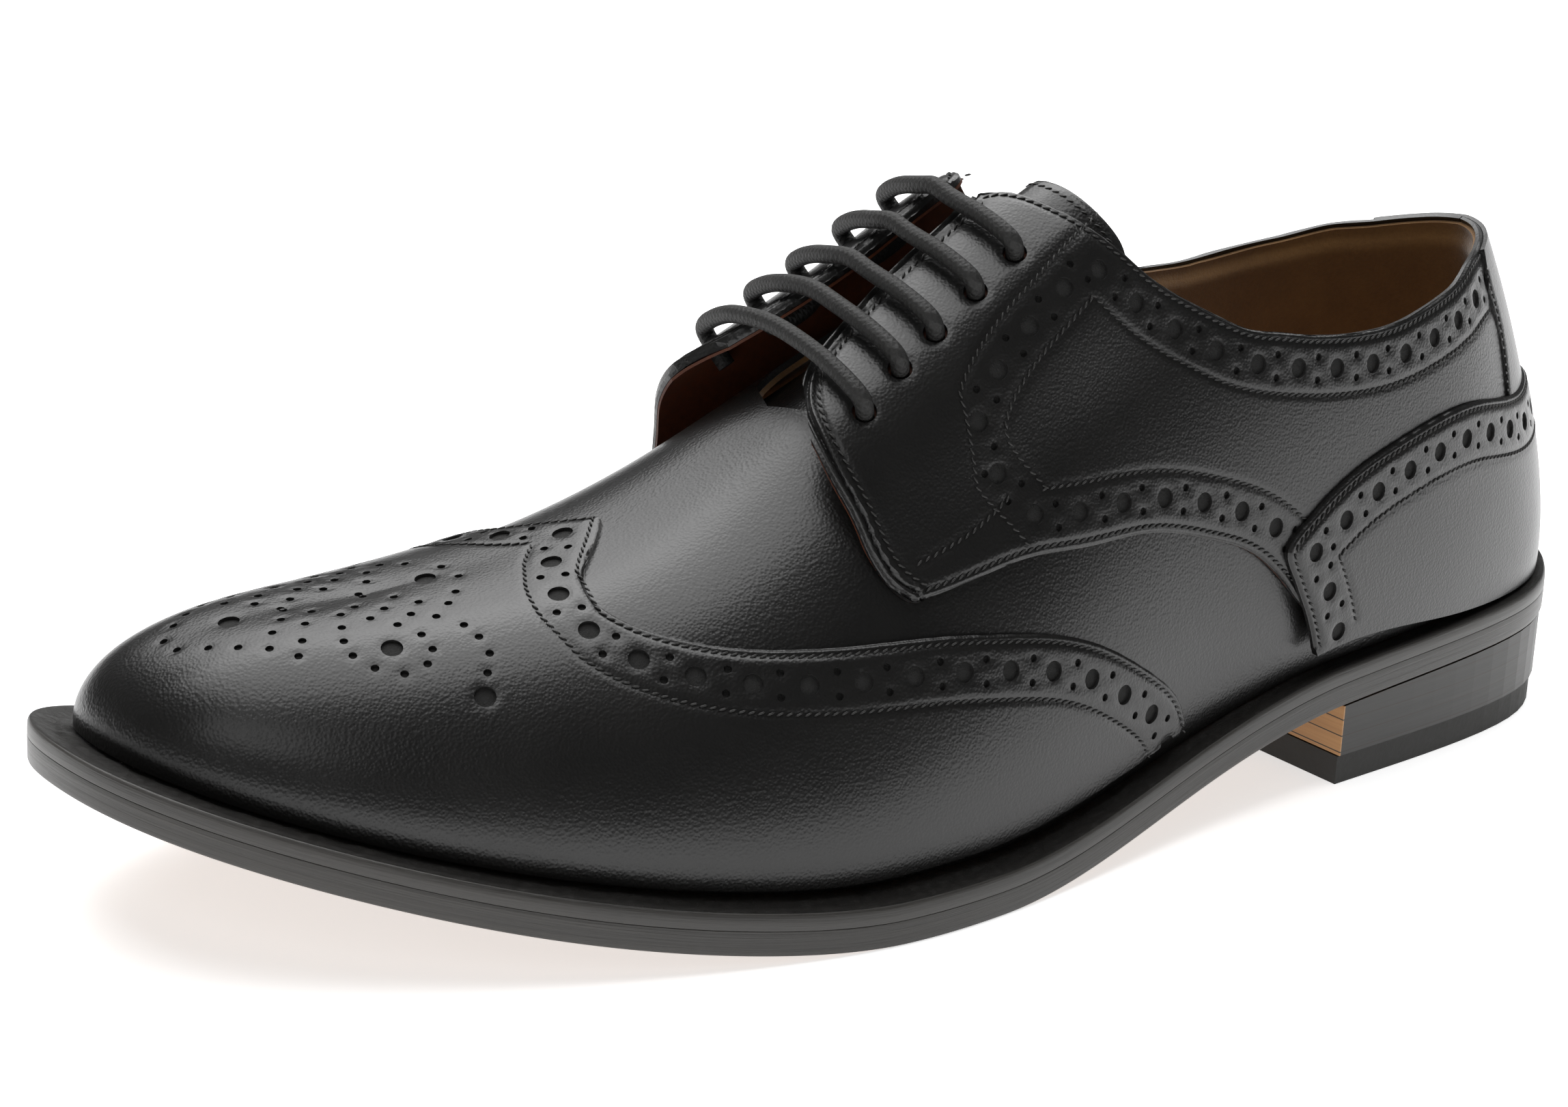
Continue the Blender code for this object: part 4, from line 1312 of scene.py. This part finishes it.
class SHOE_OT_quarters(bpy.types.Operator):
    """Cut, punch and stitch both quarters with their facings"""
    bl_idname = "shoe.quarters"
    bl_label = "Quarters"

    def execute(self, context):
        edges = quarter_edges()
        for name, place in (("quarter_left", on_quarter),
                            ("quarter_right", mirrored(on_quarter))):
            panel = Panel(f"{name}_leather", place, PANEL_WALL)
            quarter_rows(panel)
            rib, share = panel_grid(*edges, 250, 74, panel.top)
            gap = distance_to([panel.top(*half_edge(FACING))],
                              panel.top(rib, share).reshape(-1, 3))
            bead = sum(rise * MM * np.exp(-((gap - at * MM)
                                            / (wide * MM)) ** 2)
                       for rise, at, wide in FOLD)
            dressed(panel, *leather_shell(panel, rib, share, bead), name)

            rib, share = panel_grid(*edges, 120, 40, panel.top)
            keep = smooth(flap_lift(rib, share) / (2.0 * MM))
            high = place(rib, share, -0.35 * MM * keep - 0.06 * MM)
            low = place(rib, share, -0.2 * MM - 0.7 * MM * keep)
            front = rib[:, 0] < 8.9     # behind this the suede lies on it
            sheet(f"{name}_lining", high[front], low[front],
                  "facing_lining", "insole")
        return {"FINISHED"}


class SHOE_OT_counter(bpy.types.Operator):
    """Cut, punch and stitch the heel counter"""
    bl_idname = "shoe.counter"
    bl_label = "Heel counter"

    def execute(self, context):
        panel = Panel("heel_counter_leather", on_counter, PANEL_WALL)
        edge = half_edge(COUNTER_EDGE)
        first = panel.inset(edge, sizes().edge_row, 1)
        panel.stitch(first)
        panel.band(first, 1)
        panel.mirror(edge)
        rib, share = panel_grid(*counter_edges(), 150, 46, panel.top, False)
        dressed_pair(panel, rib, share,
                     lambda left, right: np.concatenate([left,
                                                         right[-2::-1]]),
                     "heel_counter")
        return {"FINISHED"}


class SHOE_OT_back_stay(bpy.types.Operator):
    """Cover the back seam with a narrow stitched strip"""
    bl_idname = "shoe.back_stay"
    bl_label = "Back stay"

    def execute(self, context):
        def place(rib, share, off=0.0):
            return on_last(rib, share, OVERLAY_FIT + PANEL_WALL
                           - 0.2 * MM + off)

        panel = Panel("back_stay", place, 0.8 * MM)
        panel.skive, panel.thinned = 0.8 * MM, 0.1 * MM
        line = half_edge(BACK_STAY)
        row = panel.inset(line, 1.2 * MM, -1)
        if row[0].mean() < line[0].mean():
            row = panel.inset(line, 1.2 * MM, 1)
        panel.stitch(under_collar(row, 0.03))
        panel.mirror(line)

        rib, share = (c[:, None] for c in half_edge(BACK_STAY, 60))
        across = fine_ends(26, RIM_STEPS, 22 * MM)[None, :]
        ribs = rib + (HALF - rib) * across
        shares = (share_on(COLLAR, ribs) + 0.004
                  + (share - BACK_STAY[0][1]) * np.ones_like(across))
        dressed_pair(panel, ribs, shares,
                     lambda left, right: np.concatenate(
                         [left, right[:, -2::-1]], 1))
        return {"FINISHED"}


def tongue_lift(rib, share):
    """Place of the tongue's top face over the last, below the upper."""
    return (TONGUE_LIFT * smooth((rib - 6.3) / 1.2)
            * (1 - smooth(share / 0.30))) - UPPER_WALL - TONGUE_FIT


def tongue_back(s):
    """Rib of the tongue's rounded end, s from -1 to 1 across it."""
    return TONGUE_BACK + TONGUE_HOLLOW * s * s - TONGUE_ROUND * s ** 8


class SHOE_OT_tongue(bpy.types.Operator):
    """Lay the tongue under the throat"""
    bl_idname = "shoe.tongue"
    bl_label = "Tongue"

    def execute(self, context):
        t = np.linspace(0, 1, 90)[:, None]
        s = np.linspace(-1, 1, 61)[None, :]
        wide = (TONGUE_SHARE_FRONT
                + (TONGUE_SHARE_BACK - TONGUE_SHARE_FRONT) * t)
        rib = TONGUE_FRONT + (tongue_back(s) - TONGUE_FRONT) * t
        share = wide * np.abs(s)
        lift = tongue_lift(rib, share)
        place = np.where(s >= 0, rib, LOOP - rib)
        edge = np.minimum(1 - np.abs(s), (1 - t) * 2.4)
        fall = -0.5 * TONGUE_WALL * np.exp(-(edge / 0.02) ** 2)
        sheet("tongue_leather", on_last(place, share, lift + fall),
              on_last(place, share, lift - TONGUE_WALL), "black_calf",
              "tongue_leather", ("tongue",))

        s = np.linspace(-0.94, 0.94, 200)
        rib = tongue_back(s) - 0.06
        share = TONGUE_SHARE_BACK * np.abs(s)
        lift = tongue_lift(rib, share)
        place = np.where(s >= 0, rib, LOOP - rib)
        points = on_last(place, share, lift)
        ups = unit(on_last(place, share, lift + MM) - points)
        sew("tongue_stitches", [(points, ups)], "tongue_leather")
        return {"FINISHED"}


def lace_route():
    """The lace's points, repeated from the part's source."""
    clear = PANEL_WALL + LACE_DIAMETER / 2 + LACE_CLEARANCE
    points = []
    facing = FACING[:NOSE + 1][::-1]
    for number, (rib, share) in enumerate(EYELETS):
        halves = []
        for place in (on_quarter, mirrored(on_quarter)):
            edge = float(share_on(facing, max(rib, 6.0)))
            half = [place(rib, share, -0.0036), place(rib, share, -0.0010),
                    place(rib, share, PANEL_WALL + 0.0022),
                    place(rib, share - 0.020, clear + 0.0010)]
            for t in (0.5, 1.0):
                half.append(place(rib, share - 0.020
                                  + (edge - share + 0.020) * t,
                                  clear + 0.0008))
            halves.append([np.array(p).reshape(3) for p in half])
        left, right = halves
        middle = (left[-1] + right[-1]) / 2
        middle[2] = max(left[-1][2], right[-1][2]) + 0.0008
        bar = left + [middle] + right[::-1]
        points.extend(bar if number % 2 == 1 else bar[::-1])
    return points


def rounded(points, rounds):
    """Corner cutting that keeps both ends."""
    for _ in range(rounds):
        cut = [points[0]]
        for a, b in zip(points, points[1:]):
            cut += [a * 0.75 + b * 0.25, a * 0.25 + b * 0.75]
        points = cut + [points[-1]]
    return np.array(points)


def skinned(rings, lengths, girths, index=lambda j: 0, joined=(1, 1)):
    """Quads over rings of points, with a UV map in metres.

    joined says whether the last ring meets the first, and whether each ring
    is closed.
    """
    rows, cols = len(rings), len(rings[0])
    bm = bmesh.new()
    uv = bm.loops.layers.uv.new("UVMap")
    grid = [[bm.verts.new(p) for p in ring] for ring in rings]
    for i in range(rows - 1 + joined[0]):
        for j in range(cols - 1 + joined[1]):
            after, k = grid[(i + 1) % rows], (j + 1) % cols
            face = bm.faces.new((grid[i][j], grid[i][k], after[k],
                                 after[j]))
            face.material_index = index(j)
            spots = ((i, j), (i, j + 1), (i + 1, j + 1), (i + 1, j))
            for loop, (a, b) in zip(face.loops, spots):
                loop[uv].uv = (lengths[a], girths[b])
    return bm, grid


def bm_object(name, bm, finishes, angle=42):
    """The built mesh as an object, with its materials and shading."""
    bmesh.ops.recalc_face_normals(bm, faces=bm.faces)
    mesh = bpy.data.meshes.new(name)
    bm.to_mesh(mesh)
    bm.free()
    for finish_name in finishes:
        mesh.materials.append(material(finish_name))
    shade(mesh, angle)
    return link(name, mesh)


def tube(name, path, radius, around, finish_name):
    """Round tube along a path, with its length and girth as a UV map."""
    run = running(path)
    at = np.linspace(0, run[-1], int(run[-1] / (0.35 * radius)))
    path = np.stack([np.interp(at, run, path[:, i]) for i in range(3)], 1)
    way = unit(np.gradient(path, axis=0))
    side = unit(np.cross(way[0], (0.3, 0.2, 1.0)))
    angle = np.linspace(0, 2 * math.pi, around, endpoint=False)
    rings = []
    for spot, forward in zip(path, way):
        side = unit(side - forward * side.dot(forward))
        up = np.cross(forward, side)
        rings.append(spot + radius * (np.cos(angle)[:, None] * side
                                      + np.sin(angle)[:, None] * up))
    girth = np.arange(around + 1) / around * 2 * math.pi * radius
    bm, grid = skinned(rings, at, girth, joined=(0, 1))
    for ring in (grid[0], grid[-1]):
        bm.faces.new(ring)
    return bm_object(name, bm, (finish_name,), 60)


class SHOE_OT_lace(bpy.types.Operator):
    """Run the lace through the eyelets"""
    bl_idname = "shoe.lace"
    bl_label = "Lace"

    def execute(self, context):
        obj = tube("lace_cord", rounded(lace_route(), 4), LACE_DIAMETER / 2,
                   sizes().lace_around, "waxed_cord")
        finish(obj, "lace", ("lace",))
        return {"FINISHED"}


def sole_edge_at(rib, less):
    """Points in plan, less inward from the sole's edge."""
    x0, y0 = foot(rib - 0.02)
    x1, y1 = foot(rib + 0.02)
    x, y = foot(rib)
    length = np.hypot(x1 - x0, y1 - y0)
    off = at_rib("margin", rib) * MARGIN - less
    return x + (y1 - y0) / length * off, y - (x1 - x0) / length * off


def sole_rings(stations, less, rise):
    """Rings of points round the sole, less inward and rise up."""
    ribs = even_ribs(stations)[0][:, None]
    x, y = sole_edge_at(ribs, less)
    return np.stack([x - HEEL_LENGTH / 2, y, tread(x) + rise], -1)


def even_ribs(stations):
    """Ribs spaced evenly along the sole's edge, and its whole length."""
    ribs = np.linspace(0, LOOP, 4001)
    run = running(np.stack(sole_edge_at(ribs, 0.0), 1))
    return np.interp(np.linspace(0, run[-1], stations, endpoint=False), run,
                     ribs), run[-1]


class SHOE_OT_sole(bpy.types.Operator):
    """Trim the sole and welt edges and finish heel and insole"""
    bl_idname = "shoe.sole"
    bl_label = "Sole, welt and heel"

    def execute(self, context):
        self.outsole()
        self.welt()
        for name, finish_name in (("heel_stack", "heel_leather"),
                                  ("top_piece", "top_rubber"),
                                  ("insole", "sock_leather")):
            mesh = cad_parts[name].data
            mesh.materials.clear()
            mesh.materials.append(material(finish_name))
        return {"FINISHED"}

    def outsole(self):
        """Sole with a rubbed lower edge, from inward and height pairs."""
        thick, soft, stations = OUTSOLE_THICKNESS, 0.5 * MM, 420
        profile = [(14 * MM, 0.0), (7 * MM, 0.0), (3 * MM, 0.0),
                   (1.2 * MM, 0.0), (soft, 0.02 * MM), (0.12 * MM, 0.2 * MM),
                   (0.0, soft)]
        profile += [(0.0, soft + (thick - soft - 0.2 * MM) * k / 4)
                    for k in range(1, 5)]
        profile += [(0.04 * MM, thick - 0.05 * MM), (0.12 * MM, thick),
                    (3 * MM, thick), (7 * MM, thick), (14 * MM, thick)]
        profile = np.array(profile)
        step = even_ribs(stations)[1] / stations
        bm, grid = skinned(
            sole_rings(stations, profile[:, 0], profile[:, 1]),
            np.arange(stations + 1) * step, running(profile),
            lambda j: int(j < 4), (1, 0))
        for j, index in ((0, 1), (-1, 0)):
            for i in range(stations // 2):
                corners = dict.fromkeys(grid[k % stations][j]
                                        for k in (i, i + 1, -i - 1, -i))
                face = bm.faces.new(tuple(corners))
                face.material_index = index
        finish(bm_object("outsole_leather", bm,
                         ("sole_edge", "tread_leather")),
               "sole_edge", ("outsole",))

    def welt(self):
        """Welt with a wheeled ditch and a rough top."""
        low, top, step = WELT_BOTTOM, WELT_TOP, WELT_STEP
        stations, shoulder = 900, 1.2 * MM
        outer = np.array((
            (0.30 * MM, low - 0.27 * MM), (0.05 * MM, low - 0.26 * MM),
            (0.02 * MM, low - 0.2 * MM), (0.03 * MM, low + 0.8 * MM),
            (0.10 * MM, top - 0.9 * MM),
            (step + 0.05 * MM, top - 0.45 * MM),
            (step + 0.3 * MM, top - 0.12 * MM),
            (step + 0.75 * MM, top), (step + shoulder, top)))
        ribs, length = even_ribs(stations)
        rough = np.random.default_rng(7).normal(0, 1, (stations, 12))
        for _ in range(2):
            rough = (np.roll(rough, 1, 0) + 2 * rough
                     + np.roll(rough, -1, 0)) / 4
        full = (at_rib("margin", ribs) * MARGIN + WELT_INSIDE
                - step)[:, None]
        across = np.array((0.24, 0.34, 0.44, 0.54, 0.64, 0.76))
        ditch = np.array((-0.35, 0, 0, 0, 0, 0)) * MM
        one = np.ones((stations, 1))
        less = np.hstack([one * outer[:, 0],
                          step + shoulder + (full - shoulder) * across,
                          step + full, step + full])
        rise = np.hstack([one * outer[:, 1],
                          top + ditch + rough[:, :6] * 0.16 * MM - 0.1 * MM,
                          one * top, one * low])
        count = less.shape[1]
        bm, _ = skinned(
            sole_rings(stations, less, rise),
            np.arange(stations + 1) * length / stations,
            4.5 * MM + np.arange(count + 1) * 0.5 * MM,
            lambda j: int(6 <= j < count - 2))
        finish(bm_object("welt_leather", bm, ("sole_edge", "welt_top"), 50),
               "welt", ("welt",))


class SHOE_OT_stage(bpy.types.Operator):
    """Set the floor, the light and the camera"""
    bl_idname = "shoe.stage"
    bl_label = "Stage"

    def execute(self, context):
        scene = context.scene
        mesh = bpy.data.meshes.new("studio_floor")
        side = 6.0
        mesh.from_pydata([(-side, -side, 0), (side, -side, 0),
                          (side, side, 0), (-side, side, 0)], [],
                         [(0, 1, 2, 3)])
        mesh.materials.append(material("studio_paper"))
        link("studio_floor", mesh)

        world = bpy.data.worlds.new("soft_white")
        world.use_nodes = True
        back = world.node_tree.nodes["Background"]
        back.inputs["Color"].default_value = (1, 1, 1, 1)
        back.inputs["Strength"].default_value = 0.07
        scene.world = world

        # name, place, aim, width, height, brightness over white paper
        for name, spot, aim, width, height, bright in (
                ("overhead_softbox", (0.05, -0.35, 2.2), (0.05, -0.2, 0),
                 2.6, 2.0, 3.0),
                ("backdrop_softbox", (-1.3, -1.9, 2.0), (-1.3, -1.9, 0),
                 4.0, 2.6, 2.6),
                ("toe_softbox", (1.5, 0.9, 1.3), (0.15, 0, 0.05),
                 0.9, 0.7, 1.6)):
            lamp = bpy.data.lights.new(name, "AREA")
            lamp.shape = "RECTANGLE"
            lamp.size, lamp.size_y = width, height
            lamp.energy = bright * math.pi * width * height
            obj = bpy.data.objects.new(name, lamp)
            scene.collection.objects.link(obj)
            obj.location = spot
            look = Vector(aim) - Vector(spot)
            obj.rotation_euler = look.to_track_quat("-Z", "Y").to_euler()
        camera(scene)
        scene.view_settings.view_transform = "Standard"
        return {"FINISHED"}


def camera(scene):
    """The photograph's view: heading, height, roll, distance and lens."""
    heading, height, roll = (math.radians(a) for a in (37.69, 18.25, 2.91))
    distance, wide, pixels = 0.650, 2296, 5205.56
    target = Vector((0.16015 - HEEL_LENGTH / 2, -0.03091, 0.03888))
    back = Vector((math.sin(heading) * math.cos(height),
                   math.cos(heading) * math.cos(height), math.sin(height)))
    right = Vector((-math.cos(heading), math.sin(heading), 0))
    up = back.cross(right)
    x_axis = right * math.cos(roll) + up * math.sin(roll)
    y_axis = up * math.cos(roll) - right * math.sin(roll)
    lens = bpy.data.cameras.new("camera")
    lens.sensor_width = 36.0
    lens.lens = pixels * 36.0 / wide
    lens.clip_start, lens.clip_end = 0.01, 30.0
    obj = bpy.data.objects.new("camera", lens)
    scene.collection.objects.link(obj)
    turn = Matrix((x_axis, y_axis, back)).transposed().to_4x4()
    obj.matrix_world = Matrix.Translation(target + back * distance) @ turn
    scene.camera = obj


class SHOE_PT_panel(bpy.types.Panel):
    """Sizes, colours and the steps that dress the shoe"""
    bl_idname = "SHOE_PT_panel"
    bl_label = "Brogue shoe"
    bl_space_type = "VIEW_3D"
    bl_region_type = "UI"
    bl_category = "Shoe"

    def draw(self, context):
        for group in (context.scene.shoe_sizes, context.scene.shoe_colours):
            for name in group.__annotations__:
                self.layout.prop(group, name)
        for step in STEPS:
            self.layout.operator(step.bl_idname)


STEPS = (SHOE_OT_vamp, SHOE_OT_wing_cap, SHOE_OT_quarters, SHOE_OT_counter,
         SHOE_OT_back_stay, SHOE_OT_tongue, SHOE_OT_lace, SHOE_OT_sole,
         SHOE_OT_stage)
CLASSES = (ShoeSizes, ShoeColours) + STEPS + (SHOE_PT_panel,)


def register():
    for made in CLASSES:
        bpy.utils.register_class(made)
    bpy.types.Scene.shoe_sizes = PointerProperty(type=ShoeSizes)
    bpy.types.Scene.shoe_colours = PointerProperty(type=ShoeColours)


def unregister():
    del bpy.types.Scene.shoe_colours
    del bpy.types.Scene.shoe_sizes
    for made in reversed(CLASSES):
        bpy.utils.unregister_class(made)


def main():
    register()
    for step in STEPS:
        getattr(bpy.ops.shoe, step.bl_idname.split(".")[1])()


if __name__ == "__main__":
    main()
